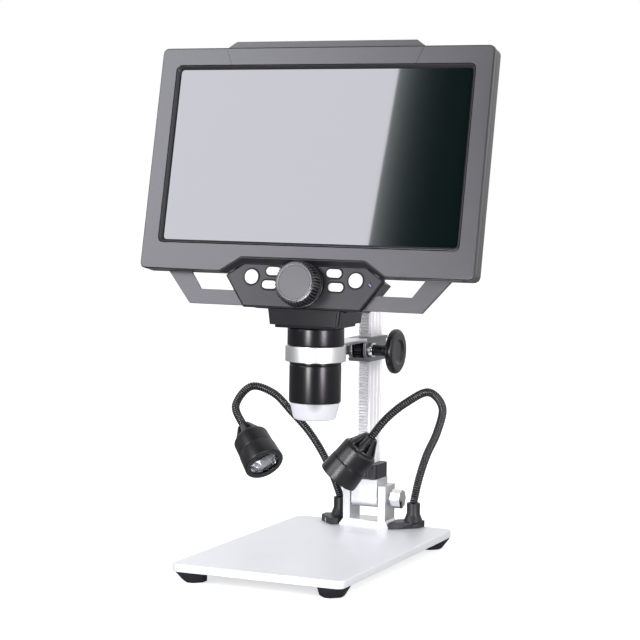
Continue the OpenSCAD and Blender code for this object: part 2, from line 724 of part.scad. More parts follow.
// Upper barrel: a neck turns in the support ring and a flange holds it in the optics box
module upper_barrel() color("dimgray") around_barrel() rotate_extrude($fn = 96) polygon([
    [spigot_d / 2, ring_bottom + slide_gap], [neck_ring_d / 2, ring_bottom + slide_gap],
    [neck_ring_d / 2, ring_top + slide_gap], [upper_barrel_d / 2, ring_top + slide_gap],
    [upper_barrel_d / 2, barrel_top], [top_neck_d / 2, barrel_top],
    [top_neck_d / 2, box_bottom + box_wall], [flange_d / 2, box_bottom + box_wall],
    [flange_d / 2, box_bottom + box_wall + 2], [barrel_bore_d / 2, box_bottom + box_wall + 2],
    [barrel_bore_d / 2, ring_bottom + spigot_l], [spigot_d / 2, ring_bottom + spigot_l]]);

// Lower barrel: its spigot screws into the upper barrel
module lower_barrel() color("dimgray") around_barrel() rotate_extrude($fn = 96) polygon([
    [barrel_bore_d / 2, lower_bottom], [lower_barrel_d / 2, lower_bottom],
    [lower_barrel_d / 2, ring_bottom], [spigot_d / 2, ring_bottom],
    [spigot_d / 2, ring_bottom + spigot_l], [barrel_bore_d / 2, ring_bottom + spigot_l]]);

module diffuser_cap() color("white", 0.8) around_barrel() rotate_extrude($fn = 96) {
    top_r = lower_barrel_d / 2 - 0.6;
    polygon([
        [cap_window_d / 2, cap_bottom], [cap_bottom_d / 2 - 2, cap_bottom],
        [cap_bottom_d / 2 - 0.6, cap_bottom + 0.6], [cap_bottom_d / 2, cap_bottom + 2],
        [top_r, lower_bottom], [top_r - cap_wall, lower_bottom],
        [cap_bottom_d / 2 - cap_wall, cap_bottom + 2 + cap_wall / 2],
        [cap_bottom_d / 2 - 2 - cap_wall / 2, cap_bottom + cap_wall],
        [cap_window_d / 2, cap_bottom + cap_wall]]);
}

led_ring_t = 1.6;
module led_ring() color("seagreen") around_barrel() {
    difference() {
        translate([0, 0, lower_bottom - led_ring_t])
            cylinder(d = lower_barrel_d - 1.2 - 2 * cap_wall - 1.2, h = led_ring_t, $fn = 96);
        translate([0, 0, lower_bottom - led_ring_t - 1]) cylinder(d = lens_d + 2, h = 5);
    }
    for (a = [0:45:315]) rotate([0, 0, a])
        translate([lower_barrel_d / 2 - 6.2, -1.4, lower_bottom - led_ring_t - 1])
            cube([2.8, 2.8, 1 + eps]);
}

// Lens cell: a sleeve that slides in the barrel; its stem reaches up to the drive roller
cell_bottom = lower_bottom + 9;
cell_h = 14;
roller_n = (housing_back + shaft_end) / 2 - 1;
roller_y = -screen_y + wheel_v * sin(screen_lean) - roller_n * cos(screen_lean);
roller_z = plate_top + screen_z + wheel_v * cos(screen_lean) + roller_n * sin(screen_lean);
lens_travel = 5.5;
stem_top = roller_z + lens_travel + 3.5;
stem_step = roller_z - lens_travel - 0.8;
module lens_cell() color("dimgray") around_barrel() difference() {
    union() {
        translate([0, 0, cell_bottom]) cylinder(d = cell_d, h = cell_h, $fn = 96);
        translate([stem_x, -stem_w / 2, cell_bottom + cell_h - 1])
            cube([2.2, stem_w, stem_step - cell_bottom - cell_h + 1]);
        translate([roller_d / 2 + roller_gap, barrel_y + roller_y - stem_w / 2, stem_step - 2])
            cube([stem_x + 2.2 - roller_d / 2 - roller_gap, stem_w, 2]);
        translate([roller_d / 2 + roller_gap, barrel_y + roller_y - stem_w / 2, stem_step - 2])
            cube([2.4, stem_w, stem_top - stem_step + 2]);
    }
    translate([0, 0, cell_bottom - 1]) cylinder(d = lens_d, h = cell_h + 2);
}

module objective_lens() color("lightblue", 0.5) around_barrel()
    translate([0, 0, cell_bottom + 3]) rotate_extrude($fn = 96) polygon([
        [0, -0.9], [lens_d / 4, -0.6], [lens_d / 2, 0], [lens_d / 2, 3],
        [lens_d / 4, 3.6], [0, 3.9]]);

// The sensor board rests on the barrel's flange at its four corners
sensor_z = box_bottom + box_wall + 2;
sensor_half_w = stem_x - 1.5;
sensor_half_d = barrel_bore_d / 2 - 1.6;
sensor_chip = 10;
module sensor_board() color("seagreen") around_barrel() {
    translate([-sensor_half_w, -sensor_half_d, sensor_z])
        cube([2 * sensor_half_w, 2 * sensor_half_d, board_t]);
    translate([-sensor_chip / 2, -sensor_chip / 2, sensor_z - 1])
        cube([sensor_chip, sensor_chip, 1 + eps]);
}

// ---------- optics box ----------

box_top_z = plate_top + screen_z - 30;
function box_side(g) = [
    [-box_front + g, box_bottom + g], [box_rear - g, box_bottom + g],
    [box_rear - g + 2, box_bottom + box_rear_h - g], [-20, box_bottom + box_rear_h + 42 - g],
    [-box_front + g, box_bottom + box_rear_h + 42 - g]];

module box_solid(g) intersection() {
    side_slab(box_side(g), -box_w, box_w);
    translate([0, 100, 0]) rotate([90, 0, 0]) linear_extrude(200) polygon([
        [-box_w / 2 + box_draft + g, box_bottom], [box_w / 2 - box_draft - g, box_bottom],
        [box_w / 2 - g, box_bottom + 11], [box_w / 2 - g, box_top_z + 60],
        [-box_w / 2 + g, box_top_z + 60], [-box_w / 2 + g, box_bottom + 11]]);
}

module optics_box() color("dimgray") difference() {
    union() {
        box_solid(0);
        translate([-box_w / 2 + box_draft + lip_inset, -box_front + lip_inset, barrel_top])
            cube([box_w - 2 * box_draft - 2 * lip_inset, box_front + box_rear - 2 * lip_inset,
                lip_h + eps]);
    }
    box_solid(box_wall);
    around_barrel() translate([0, 0, barrel_top - 1])
        cylinder(d = top_neck_d, h = lip_h + box_wall + 2, $fn = 96);
    on_display() {
        shell_solid(0);
        housing_solid(0, housing_back);
        translate([-box_w, panel_lo + 0.5, housing_back + 1]) cube([2 * box_w, 200, 50]);
    }
}

// ---------- display ----------

module screen_outline(grow, r) {
    square([screen_w + 2 * grow - 2 * r, screen_h + 2 * grow], center = true);
    square([screen_w + 2 * grow, screen_h + 2 * grow - 2 * r], center = true);
    for (x = [-1, 1], y = [-1, 1])
        translate([x * (screen_w / 2 + grow - r), y * (screen_h / 2 + grow - r)]) circle(r);
}

// The bezel's outline, moved out by grow, from n0 to n1
module bezel_slab(grow, n0, n1) {
    translate([0, (bezel_hi + bezel_lo) / 2, n0])
        rounded_plate(bezel_w + 2 * grow, bezel_hi - bezel_lo + 2 * grow, n1 - n0,
            max(bezel_r + grow, 0.5));
}

recess_top_half = panel_top_half + 0.5;
recess_half = panel_half + 4;
recess_v = panel_hi + 3.6;
recess_corner_v = bezel_lo;

// The recess over the control panel, with walls that slope in from the bezel's face
module panel_recess() {
    hull() {
        translate([0, 0, -eps]) linear_extrude(1) polygon([
            [-recess_half, recess_corner_v], [-recess_top_half, recess_v],
            [recess_top_half, recess_v], [recess_half, recess_corner_v],
            [recess_half, recess_corner_v - 1], [-recess_half, recess_corner_v - 1]]);
        translate([0, 0, -bezel_d - 1]) linear_extrude(eps) polygon([
            [-panel_half, recess_corner_v - 1], [-panel_half, panel_hi - panel_corner + 2],
            [-panel_top_half, panel_hi], [panel_top_half, panel_hi],
            [panel_half, panel_hi - panel_corner + 2], [panel_half, recess_corner_v - 1]]);
    }
}

module cover_screw_places() for (u = [-1, 1], v = [bezel_hi - 5.4, bezel_lo + 5.4, 0])
    translate([u * cover_screw_u, v, 0]) children();

module front_bezel() color([0.36, 0.36, 0.39]) on_display() difference() {
    bezel_slab(0, -bezel_d, 0);
    translate([0, 0, -bezel_d - 1]) linear_extrude(bezel_d + 2) screen_outline(0, 2);
    hull() {
        translate([0, 0, glass_front]) linear_extrude(eps) screen_outline(0, 2, $fn = 32);
        linear_extrude(1) screen_outline(glass_slope, 4, $fn = 32);
    }
    translate([0, 0, -bezel_d - 1]) linear_extrude(bezel_d + 1 - glass_set)
        square([screen_w + 2 * lcd_border, screen_h + 2 * lcd_border], center = true);
    panel_recess();
    wheel_clearance();
    cover_screw_places() translate([0, 0, -bezel_d - 1]) cylinder(d = 1.6, h = 4);
}

module cover_glass() color("lightsteelblue", 0.5) on_display()
    translate([0, 0, lcd_front]) linear_extrude(glass_t)
        square([screen_w + 2 * lcd_border - 0.4, screen_h + 2 * lcd_border - 0.4], center = true);

module lcd_panel() color("black") on_display()
    translate([0, 0, lcd_back]) linear_extrude(lcd_t)
        square([screen_w + 2 * lcd_border - 0.6, screen_h + 2 * lcd_border - 0.6], center = true);

// The rear shell's outer form, moved in by g: a straight side, then a four-sided taper
module shell_solid(g) {
    mid = (bezel_hi + bezel_lo) / 2;
    half_w = bezel_w / 2 - g;
    half_h = (bezel_hi - bezel_lo) / 2 - g;
    intersection() {
        bezel_slab(-g, shell_back + g, shell_front);
        translate([0, half_h + mid, 0]) rotate([90, 0, 0]) linear_extrude(2 * half_h) polygon([
            [-half_w, shell_front], [half_w, shell_front], [half_w, shell_edge],
            [half_w - shell_inset, shell_back + g], [-half_w + shell_inset, shell_back + g],
            [-half_w, shell_edge]]);
        side_slab_n([[mid - half_h, shell_front], [mid + half_h, shell_front],
            [mid + half_h, shell_edge], [mid + half_h - shell_inset, shell_back + g],
            [mid - half_h + shell_inset, shell_back + g], [mid - half_h, shell_edge]], half_w);
    }
}

// A [v, n] outline as a slab from -half to +half along U
module side_slab_n(points, half) {
    translate([-half, 0, 0]) rotate([90, 0, 90]) linear_extrude(2 * half) polygon(points);
}

lcd_post_u = screen_w / 2 - 8;
lcd_post_v = screen_h / 2 - 8;
board_w = 88;
board_h = 62;
board_u = 50;
board_v = -8;
board_back = shell_back + shell_wall + 5.5;
cell_pack = [74, 54, 8];

module rear_shell() color([0.33, 0.34, 0.36]) on_display() difference() {
    union() {
        difference() {
            shell_solid(0);
            translate([0, 0, eps]) shell_solid(shell_wall);
        }
        intersection() {
            shell_solid(0.5);
            union() {
                for (u = [-1, 1], v = [-1, 1])
                    translate([u * lcd_post_u, v * lcd_post_v, shell_back])
                        cylinder(d = post_d, h = lcd_back - shell_back);
                for (u = [-1, 1], v = [-1, 1])
                    translate([board_u + u * (board_w / 2 - 4), board_v + v * (board_h / 2 - 4),
                        shell_back]) cylinder(d = 6, h = board_back - shell_back);
                cover_screw_places() translate([0, 0, shell_back])
                    cylinder(d = 7, h = shell_front - shell_back);
            }
        }
        ridge();
    }
    cover_screw_places() {
        translate([0, 0, shell_back - 1]) cylinder(d = 4.8, h = -shell_back + shell_edge + 2);
        translate([0, 0, shell_back]) cylinder(d = 2.6, h = 40);
    }
    translate([-bezel_w / 2 - 1, port_v - port_l / 2, port_n - port_t / 2])
        cube([shell_wall + 2, port_l, port_t]);
    // The pocket behind the control panel
    translate([0, 0, board_face - board_t - 1.5]) linear_extrude(20) polygon(panel_shape(-0.3));
    wheel_clearance();
}

// The room that the focus wheel turns in
module wheel_clearance() translate([0, wheel_v, panel_face - 0.1])
    cylinder(d = wheel_d + 0.8 + 4 * loose_gap, h = 20, $fn = 96);

// The ridge that rises above the bezel's top edge, just behind its face
module ridge() {
    translate([0, 0, shell_front]) linear_extrude(bezel_d - 2) polygon([
        [-ridge_half, bezel_hi], [-ridge_half + 6.5, bezel_hi + ridge_h],
        [ridge_half - 6.5, bezel_hi + ridge_h], [ridge_half, bezel_hi]]);
    translate([0, 0, shell_edge]) linear_extrude(shell_side) polygon([
        [-ridge_half, bezel_hi - 1], [-ridge_half, bezel_hi],
        [-ridge_half + 6.5, bezel_hi + ridge_h], [ridge_half - 6.5, bezel_hi + ridge_h],
        [ridge_half, bezel_hi], [ridge_half, bezel_hi - 1]]);
}

module case_screws() color("silver") on_display() cover_screw_places() {
    translate([0, 0, shell_edge + 1 - 1.8]) cylinder(d = 4.4, h = 1.8);
    translate([0, 0, shell_edge - 0.5]) cylinder(d = 1.6 - 0.1, h = -shell_edge - 1.2);
}

module main_board() color("seagreen") on_display() {
    translate([board_u - board_w / 2, board_v - board_h / 2, board_back])
        cube([board_w, board_h, board_t]);
    translate([board_u - 12, board_v - 10, board_back + board_t - eps]) cube([20, 20, 2.2]);
    translate([board_u + 18, board_v - 18, board_back + board_t - eps]) cube([14, 12, 1.5]);
}

module battery_pack() color("slategray") on_display()
    translate([-6 - cell_pack[0], board_v - cell_pack[1] / 2, shell_back + shell_wall + 2 * eps])
        cube(cell_pack);

port_v = -30;
port_l = 34;
port_n = (shell_front + shell_edge) / 2;
port_t = 5.6;
usb_w = 9;
usb_h = 3.2;
card_w = 12;
card_h = 1.6;
port_deep = 9;
module port_block() color("silver") on_display() difference() {
    translate([-bezel_w / 2 + 0.2, port_v - port_l / 2 + 0.1, port_n - port_t / 2 + 0.1])
        cube([port_deep, port_l - 0.2, port_t - 0.2]);
    translate([-bezel_w / 2 - 1, port_v + 8, port_n]) rotate([0, 90, 0])
        rotate([0, 0, 90]) oval_bar(usb_w, usb_h, port_deep - 1);
    translate([-bezel_w / 2 - 1, port_v - 9 - card_w / 2, port_n - card_h / 2])
        cube([port_deep - 1, card_w, card_h]);
}

// ---------- control panel ----------

function panel_shape(g) = [
    [-panel_top_half + g * 0.5, panel_hi - g], [panel_top_half - g * 0.5, panel_hi - g],
    [panel_half - g * 1.2, panel_hi - panel_corner], [panel_bottom_half - g * 0.7, panel_lo + g],
    [-panel_bottom_half + g * 0.7, panel_lo + g], [-panel_half + g * 1.2, panel_hi - panel_corner]];

module housing_solid(g, n0) translate([0, 0, n0]) linear_extrude(wing_face + 0.5 - n0)
    polygon(panel_shape(g + 1));

module at_round(side) translate([side * round_at[0], round_at[1], 0]) children();
module at_oval(side, place) translate([side * place[0], place[1], 0]) children();

module control_panel() color([0.36, 0.36, 0.39]) on_display() difference() {
    translate([0, 0, panel_back]) linear_extrude(panel_t) polygon(panel_shape(0.2));
    for (s = [-1, 1]) {
        at_round(s) translate([0, 0, panel_back - 1])
            cylinder(d = round_button_d + 2 * loose_gap, h = panel_t + 2);
        at_oval(s, oval_upper_at) translate([0, 0, panel_back - 1])
            oval_bar(oval_button_l + 2 * loose_gap, oval_button_h + 2 * loose_gap, panel_t + 2);
        at_oval(s, oval_lower_at) translate([0, 0, panel_back - 1])
            oval_bar(oval_button_l + 2 * loose_gap, oval_button_h + 2 * loose_gap, panel_t + 2);
    }
    translate([0, wheel_v, panel_back - 1])
        cylinder(d = wheel_shaft_d + 2 * run_gap, h = panel_t + 2);
    translate([indicator_at[0], indicator_at[1], panel_back - 1]) cylinder(d = 3, h = panel_t + 2);
}

// The wings' outer ends, and how far their openings run
wing_end = 16.3;
wing_open_top = wing_half - wing_end;
wing_open_low = wing_open_top - 7.7;
wing_open_in = panel_bottom_half + 9.2;
wing_open_v = bezel_lo - 0.3;
module wing_frame() color([0.34, 0.35, 0.37]) on_display() difference() {
    union() {
        translate([0, 0, wing_face - wing_t]) linear_extrude(wing_t) polygon([
            [-wing_half, bezel_lo], [wing_half, bezel_lo], [wing_bottom_half, panel_lo + 0.5],
            [-wing_bottom_half, panel_lo + 0.5]]);
        housing_solid(0, housing_back);
    }
    translate([0, 0, -eps]) shell_solid(0);
    housing_solid(housing_wall, housing_back + housing_wall);
    // The openings in the wings
    for (s = [-1, 1]) translate([0, 0, wing_face - wing_t - 1])
        linear_extrude(wing_t + 2) polygon([
            [s * (panel_half - 0.5), bezel_lo + 1], [s * wing_open_top, bezel_lo + 1],
            [s * wing_open_top, wing_open_v], [s * wing_open_low, wing_open_v - wing_open_h],
            [s * wing_open_in, wing_open_v - wing_open_h], [s * (panel_half - 0.5), bezel_lo - 1.5]]);
    translate([0, wheel_v, housing_back - 1])
        cylinder(d = wheel_shaft_d + 2 * run_gap, h = housing_wall + 2);
}

// A pressed button's stem stops just above its switch
switch_w = 4;
switch_h = switch_room - stem_reach - slide_gap;
board_post_at = [33, 14];
board_post_d = 3;
module switch_block() translate([-switch_w / 2, -switch_w / 2, board_face - eps])
    cube([switch_w, switch_w, switch_h + eps]);

module button_board() color("seagreen") on_display() {
    difference() {
        translate([0, 0, board_face - board_t]) linear_extrude(board_t)
            polygon(panel_shape(housing_wall + 1.2));
        translate([0, wheel_v, board_face - board_t - 1])
            cylinder(d = wheel_shaft_d + 4, h = board_t + 2);
    }
    for (s = [-1, 1]) {
        at_round(s) switch_block();
        at_oval(s, oval_upper_at) switch_block();
        at_oval(s, oval_lower_at) switch_block();
        translate([s * board_post_at[0], bezel_lo - board_post_at[1], housing_back + housing_wall])
            cylinder(d = board_post_d, h = board_face - board_t - housing_back - housing_wall);
    }
}

module indicator_lens() color("lavender") on_display()
    translate([indicator_at[0], indicator_at[1], board_face]) {
        cylinder(d = 2.9, h = panel_face - board_face + 0.1);
    }

// Focus wheel: knurled rim, bevelled face, collar, and the shaft with its drive roller
wheel_face = panel_face + wheel_proud;
module focus_wheel() color("dimgray") on_display() translate([0, wheel_v, 0]) {
    translate([0, 0, wheel_face - 3.5]) rotate_extrude($fn = 96) polygon([
        [0, 0], [wheel_d / 2 - 0.4, 0], [wheel_d / 2 - 0.6, 1.6], [wheel_d / 2 - 2, 3.5],
        [wheel_d / 2 - 3, 3.5], [wheel_d / 2 - 3.3, 3.2], [0, 3.2]]);
    translate([0, 0, panel_face + 2.8]) linear_extrude(wheel_proud - 6.3 + eps)
        polygon([for (i = [0:wheel_grooves - 1], k = [0:3])
            let (a = (i + [0, 0.28, 0.5, 0.78][k]) * 360 / wheel_grooves,
                r = wheel_d / 2 - (k < 2 ? 0 : 0.9))
            [r * cos(a), r * sin(a)]]);
    translate([0, 0, panel_face + loose_gap]) cylinder(d = wheel_d + 0.8, h = 2.6, $fn = 96);
    translate([0, 0, housing_back - 0.4])
        cylinder(d = wheel_shaft_d, h = panel_face - housing_back + 3);
    translate([0, 0, shaft_end]) cylinder(d = roller_d, h = housing_back - shaft_end);
}

// A button: its cap shows through the panel and its flange stops it behind the panel
module button_stem() translate([0, 0, button_body_back - stem_reach])
    cylinder(d = 3, h = stem_l);

module round_button(s) on_display() at_round(s) {
    translate([0, 0, panel_back - 0.5])
        cylinder(d = round_button_d, h = panel_t + 0.5 + button_proud);
    translate([0, 0, panel_back - loose_gap - button_flange + 0.2])
        cylinder(d = round_button_d + 2, h = button_flange - 0.2 + eps);
    button_stem();
}

module oval_button(s, place) on_display() at_oval(s, place) {
    translate([0, 0, panel_back - 0.5])
        oval_bar(oval_button_l, oval_button_h, panel_t + 0.5 + button_proud);
    translate([0, 0, panel_back - loose_gap - button_flange + 0.2])
        oval_bar(oval_button_l + 1.6, oval_button_h + 1.6, button_flange - 0.2 + eps);
    button_stem();
}

module button_round_left() color("white") round_button(-1);
module button_round_right() color("white") round_button(1);
module button_upper_left() color("white") oval_button(-1, oval_upper_at);
module button_lower_left() color("white") oval_button(-1, oval_lower_at);
module button_upper_right() color("white") oval_button(1, oval_upper_at);
module button_lower_right() color("white") oval_button(1, oval_lower_at);

// ---------- gooseneck lamps ----------

neck_steps = 4;
joint_gap = neck_d / 2 + loose_gap;
function neck_root(root) = [root[0], root[1], socket_h];

// A lamp's whole route, and its parts below and above the elbow
function part_of(p, first, last) = [for (i = [first:last]) p[i]];
right_route = smooth_route(
    lifted(concat([neck_root(neck_right_root)], neck_right_route, neck_right_end)), neck_steps);
left_route = smooth_route(
    lifted(concat([neck_root(neck_left_root)], neck_left_route, neck_left_end)), neck_steps);
right_elbow = len(neck_right_route) * neck_steps;
left_elbow = len(neck_left_route) * neck_steps;
right_low = part_of(right_route, 0, right_elbow);
right_high = part_of(right_route, right_elbow, len(right_route) - 1);
left_low = part_of(left_route, 0, left_elbow);
left_high = part_of(left_route, left_elbow, len(left_route) - 1);

// The route above the elbow, cut off where the elbow's ball turns
function past_elbow(p) = let (j = p[0], t = unit(p[1] - p[0]))
    concat([j + joint_gap * t], [for (q = p) if (norm(q - j) > joint_gap + 1) q]);

right_side = [0.93, -0.37, 0];
left_side = [0.75, -0.66, 0];
module neck_lower_right() color("dimgray") tube(right_low, neck_d, right_side, true, true);
module neck_upper_right() color("dimgray")
    tube(past_elbow(right_high), neck_d, right_side, false, true);
module neck_lower_left() color("dimgray") tube(left_low, neck_d, left_side, true, true);
module neck_upper_left() color("dimgray")
    tube(past_elbow(left_high), neck_d, left_side, false, true);

// A lamp's frame: the origin at the neck's last joint and +Z towards the light
module on_lamp(high, aim) point_along(high[len(high) - 1], aim) children();

// A lamp's cone: fins along its length, and a socket that turns on the neck's ball
boot_small_d = 9.6;
boot_big_d = 20;
boot_back = -0.6;
boot_rim = 1.4;
boot_end = boot_back + boot_l;
socket_mouth_r = 3.9;
slot_share = 0.45;
module boot_slot() {
    half_angle = slot_share * 180 / boot_fins;
    inner = socket_mouth_r + 0.5;
    translate([0, 0, boot_back - 1]) linear_extrude(boot_l - boot_rim + 1)
        polygon([for (r = [inner, boot_big_d]) [r, r * tan(half_angle)],
            for (r = [boot_big_d, inner]) [r, -r * tan(half_angle)]]);
}
module lamp_boot() difference() {
    rotate_extrude($fn = 64) polygon([
        [0, boot_back], [boot_small_d / 2, boot_back], [boot_big_d / 2, boot_end - 0.8],
        [boot_big_d / 2, boot_end], [0, boot_end]]);
    for (i = [0:boot_fins - 1]) rotate([0, 0, (i + 0.5) * 360 / boot_fins]) boot_slot();
    sphere(d = neck_d + 2 * loose_gap);
    translate([0, 0, boot_back - eps])
        cylinder(r1 = socket_mouth_r, r2 = neck_d / 2 + loose_gap, h = -2 * boot_back);
}

shell_start = boot_end;
lamp_wall = 2;
lamp_flare = 1.4;
lamp_shoulder = 1.2;
lamp_step = 0.3;
lamp_lip = 0.4;
module lamp_shell() translate([0, 0, shell_start]) difference() {
    rotate_extrude($fn = 96) polygon([
        [0, 0], [lamp_d / 2 - lamp_flare - lamp_shoulder, 0],
        [lamp_d / 2 - lamp_flare, lamp_shoulder],
        [lamp_d / 2 - lamp_flare / 2 - lamp_step, lamp_l / 2],
        [lamp_d / 2 - lamp_flare / 2, lamp_l / 2],
        [lamp_d / 2, lamp_l - lamp_lip], [lamp_d / 2 - lamp_lip, lamp_l], [0, lamp_l]]);
    translate([0, 0, lamp_wall]) cylinder(d = lamp_mouth_d + 2, h = lamp_l - lamp_wall - 1.5,
        $fn = 96);
    translate([0, 0, 2 * lamp_wall]) cylinder(d = lamp_mouth_d, h = lamp_l, $fn = 96);
}

reflector_l = 10;
reflector_back = shell_start + lamp_l - 2.7 - reflector_l;
module lamp_reflector() translate([0, 0, reflector_back]) difference() {
    cylinder(d = lamp_mouth_d + 1.8, h = reflector_l, $fn = 96);
    translate([0, 0, 1.4]) cylinder(d1 = 7, d2 = lamp_mouth_d, h = reflector_l - 1.4 + eps,
        $fn = 96);
    translate([0, 0, -1]) cylinder(d = emitter_w * 1.5 + 0.4, h = 4);
}

module lamp_emitter() {
    translate([0, 0, reflector_back - board_t])
        cylinder(d = lamp_mouth_d + 1.8, h = board_t, $fn = 96);
    translate([-emitter_w / 2, -emitter_w / 2, reflector_back - eps])
        cube([emitter_w, emitter_w, 1.2]);
}

module lamp_lens() translate([0, 0, reflector_back + reflector_l])
    cylinder(d = lamp_mouth_d + 1.8, h = 1.2, $fn = 96);

module lamp_boot_right() color("dimgray") on_lamp(right_high, lamp_right_aim) lamp_boot();
module lamp_shell_right() color("dimgray") on_lamp(right_high, lamp_right_aim) lamp_shell();
module lamp_reflector_right() color("silver")
    on_lamp(right_high, lamp_right_aim) lamp_reflector();
module lamp_emitter_right() color("khaki") on_lamp(right_high, lamp_right_aim) lamp_emitter();
module lamp_lens_right() color("lightblue", 0.5)
    on_lamp(right_high, lamp_right_aim) lamp_lens();
module lamp_boot_left() color("dimgray") on_lamp(left_high, lamp_left_aim) lamp_boot();
module lamp_shell_left() color("dimgray") on_lamp(left_high, lamp_left_aim) lamp_shell();
module lamp_reflector_left() color("silver") on_lamp(left_high, lamp_left_aim) lamp_reflector();
module lamp_emitter_left() color("khaki") on_lamp(left_high, lamp_left_aim) lamp_emitter();
module lamp_lens_left() color("lightblue", 0.5) on_lamp(left_high, lamp_left_aim) lamp_lens();

base_plate();
feet();
tilt_bracket();
stand_screws();
lamp_foot_right();
lamp_foot_left();
tilt_screw();
tilt_block();
column_collar();
column();
rack();
column_cap();
carriage();
support_arm();
arm_screws();
shaft_bushing();
pinion_shaft();
height_knob();
upper_barrel();
lower_barrel();
diffuser_cap();
led_ring();
lens_cell();
objective_lens();
sensor_board();
optics_box();
front_bezel();
rear_shell();
cover_glass();
lcd_panel();
main_board();
battery_pack();
port_block();
case_screws();
control_panel();
wing_frame();
button_board();
indicator_lens();
focus_wheel();
button_round_left();
button_round_right();
button_upper_left();
button_lower_left();
button_upper_right();
button_lower_right();
neck_lower_right();
neck_upper_right();
lamp_boot_right();
lamp_shell_right();
lamp_reflector_right();
lamp_emitter_right();
lamp_lens_right();
neck_lower_left();
neck_upper_left();
lamp_boot_left();
lamp_shell_left();
lamp_reflector_left();
lamp_emitter_left();
lamp_lens_left();
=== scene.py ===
"""A desk-stand digital microscope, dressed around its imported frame.

Lengths are in millimetres in the table frame of the CAD model and become metres in skin().
The sections follow the object as it is put together, from the base plate up, and each
defines the values, helpers and finishes that it is the first to need.
"""
import json
import math

import bmesh
import bpy
import numpy as np
from mathutils import Matrix, Vector


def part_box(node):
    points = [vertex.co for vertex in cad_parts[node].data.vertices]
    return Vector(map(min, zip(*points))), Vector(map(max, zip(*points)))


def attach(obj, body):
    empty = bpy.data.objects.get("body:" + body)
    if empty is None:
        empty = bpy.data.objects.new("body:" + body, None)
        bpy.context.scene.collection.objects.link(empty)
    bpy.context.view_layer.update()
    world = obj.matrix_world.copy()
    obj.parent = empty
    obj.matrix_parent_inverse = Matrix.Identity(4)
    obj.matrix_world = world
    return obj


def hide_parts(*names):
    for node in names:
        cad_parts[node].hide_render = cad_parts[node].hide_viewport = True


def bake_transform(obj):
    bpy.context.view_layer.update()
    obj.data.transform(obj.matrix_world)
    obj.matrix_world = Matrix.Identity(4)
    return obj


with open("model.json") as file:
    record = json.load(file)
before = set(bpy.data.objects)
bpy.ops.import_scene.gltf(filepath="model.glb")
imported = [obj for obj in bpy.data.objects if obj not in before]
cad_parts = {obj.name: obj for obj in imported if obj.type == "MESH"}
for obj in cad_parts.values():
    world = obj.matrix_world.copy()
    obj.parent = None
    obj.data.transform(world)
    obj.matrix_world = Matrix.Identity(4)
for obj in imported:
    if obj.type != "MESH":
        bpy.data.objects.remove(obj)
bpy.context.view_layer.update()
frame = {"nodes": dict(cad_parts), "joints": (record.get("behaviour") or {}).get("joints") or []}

MM = 0.001

# ---------------------------------------------------------------- the viewpoint
# A long lens a little over a metre away, slightly above the table and to the right of
# the person at the screen. It comes first, since everything else is judged through it.
bpy.context.scene.view_settings.view_transform = "Standard"
azimuth, elevation, roll = (math.radians(a) for a in (23.72, 4.34, 0.92))
backwards = Vector((math.sin(azimuth) * math.cos(elevation),
                    -math.cos(azimuth) * math.cos(elevation), math.sin(elevation)))
level = Vector((math.cos(azimuth), math.sin(azimuth), 0))
upright = backwards.cross(level)
right = math.cos(roll) * level + math.sin(roll) * upright
above = math.cos(roll) * upright - math.sin(roll) * level
eye = Vector((492.67, -1124.73, 250.09))

lens = bpy.data.cameras.new("viewpoint")
lens.lens, lens.sensor_width, lens.clip_end = 109.0, 36.0, 60
camera = bpy.data.objects.new("viewpoint", lens)
camera.matrix_world = Matrix.Translation(eye * MM) @ Matrix(
    (right, above, backwards)).transposed().to_4x4()
bpy.context.scene.collection.objects.link(camera)
bpy.context.scene.camera = camera

# ---------------------------------------------------------------- base plate
# A 5 mm aluminium plate, sawn, its corners rounded and its edges broken, then blasted
# with fine beads and clear anodised. Everything else is screwed to it from below.


class Wire:
    """One output socket of a shader node. Arithmetic on it adds Math nodes."""

    def __init__(self, tree, socket):
        self.tree, self.socket = tree, socket

    def maths(self, operation, *others, swap=False):
        """This value and the others through one Math node, in turned order if swapped."""
        node = self.tree.nodes.new("ShaderNodeMath")
        node.operation = operation
        values = (self, *others)
        for slot, value in zip(node.inputs, values[::-1] if swap else values):
            if isinstance(value, Wire):
                self.tree.links.new(value.socket, slot)
            else:
                slot.default_value = value
        return Wire(self.tree, node.outputs[0])

    def __add__(self, other):
        return self.maths("ADD", other)

    def __sub__(self, other):
        return self.maths("SUBTRACT", other)

    def __rsub__(self, other):
        return self.maths("SUBTRACT", other, swap=True)

    def __mul__(self, other):
        return self.maths("MULTIPLY", other)

    def __truediv__(self, other):
        return self.maths("DIVIDE", other)

    def __rpow__(self, other):
        return self.maths("POWER", other, swap=True)

    def __lt__(self, other):
        return self.maths("LESS_THAN", other)

    def __gt__(self, other):
        return self.maths("GREATER_THAN", other)

    def __abs__(self):
        return self.maths("ABSOLUTE")

    def at_least(self, other):
        return self.maths("MAXIMUM", other)

    def at_most(self, other):
        return self.maths("MINIMUM", other)

    __radd__, __rmul__ = __add__, __mul__


class Graph:
    """A node tree that nodes are added to."""

    def __init__(self, tree):
        self.tree = tree

    def feed(self, slot, value):
        """Links a wire to an input socket, or sets it to a value. Colours may be RGB."""
        if isinstance(value, Wire):
            self.tree.links.new(value.socket, slot)
        elif isinstance(value, tuple) and len(value) == 3 and slot.type == "RGBA":
            slot.default_value = (*value, 1)
        else:
            slot.default_value = value

    def node(self, kind, settings=None, sockets=None, output=0):
        """Adds a node of this kind: its settings first, then its sockets."""
        made = self.tree.nodes.new(kind)
        for key, value in (settings or {}).items():
            setattr(made, key, value)
        for key, value in (sockets or {}).items():
            self.feed(made.inputs[key], value)
        return Wire(self.tree, made.outputs[output])


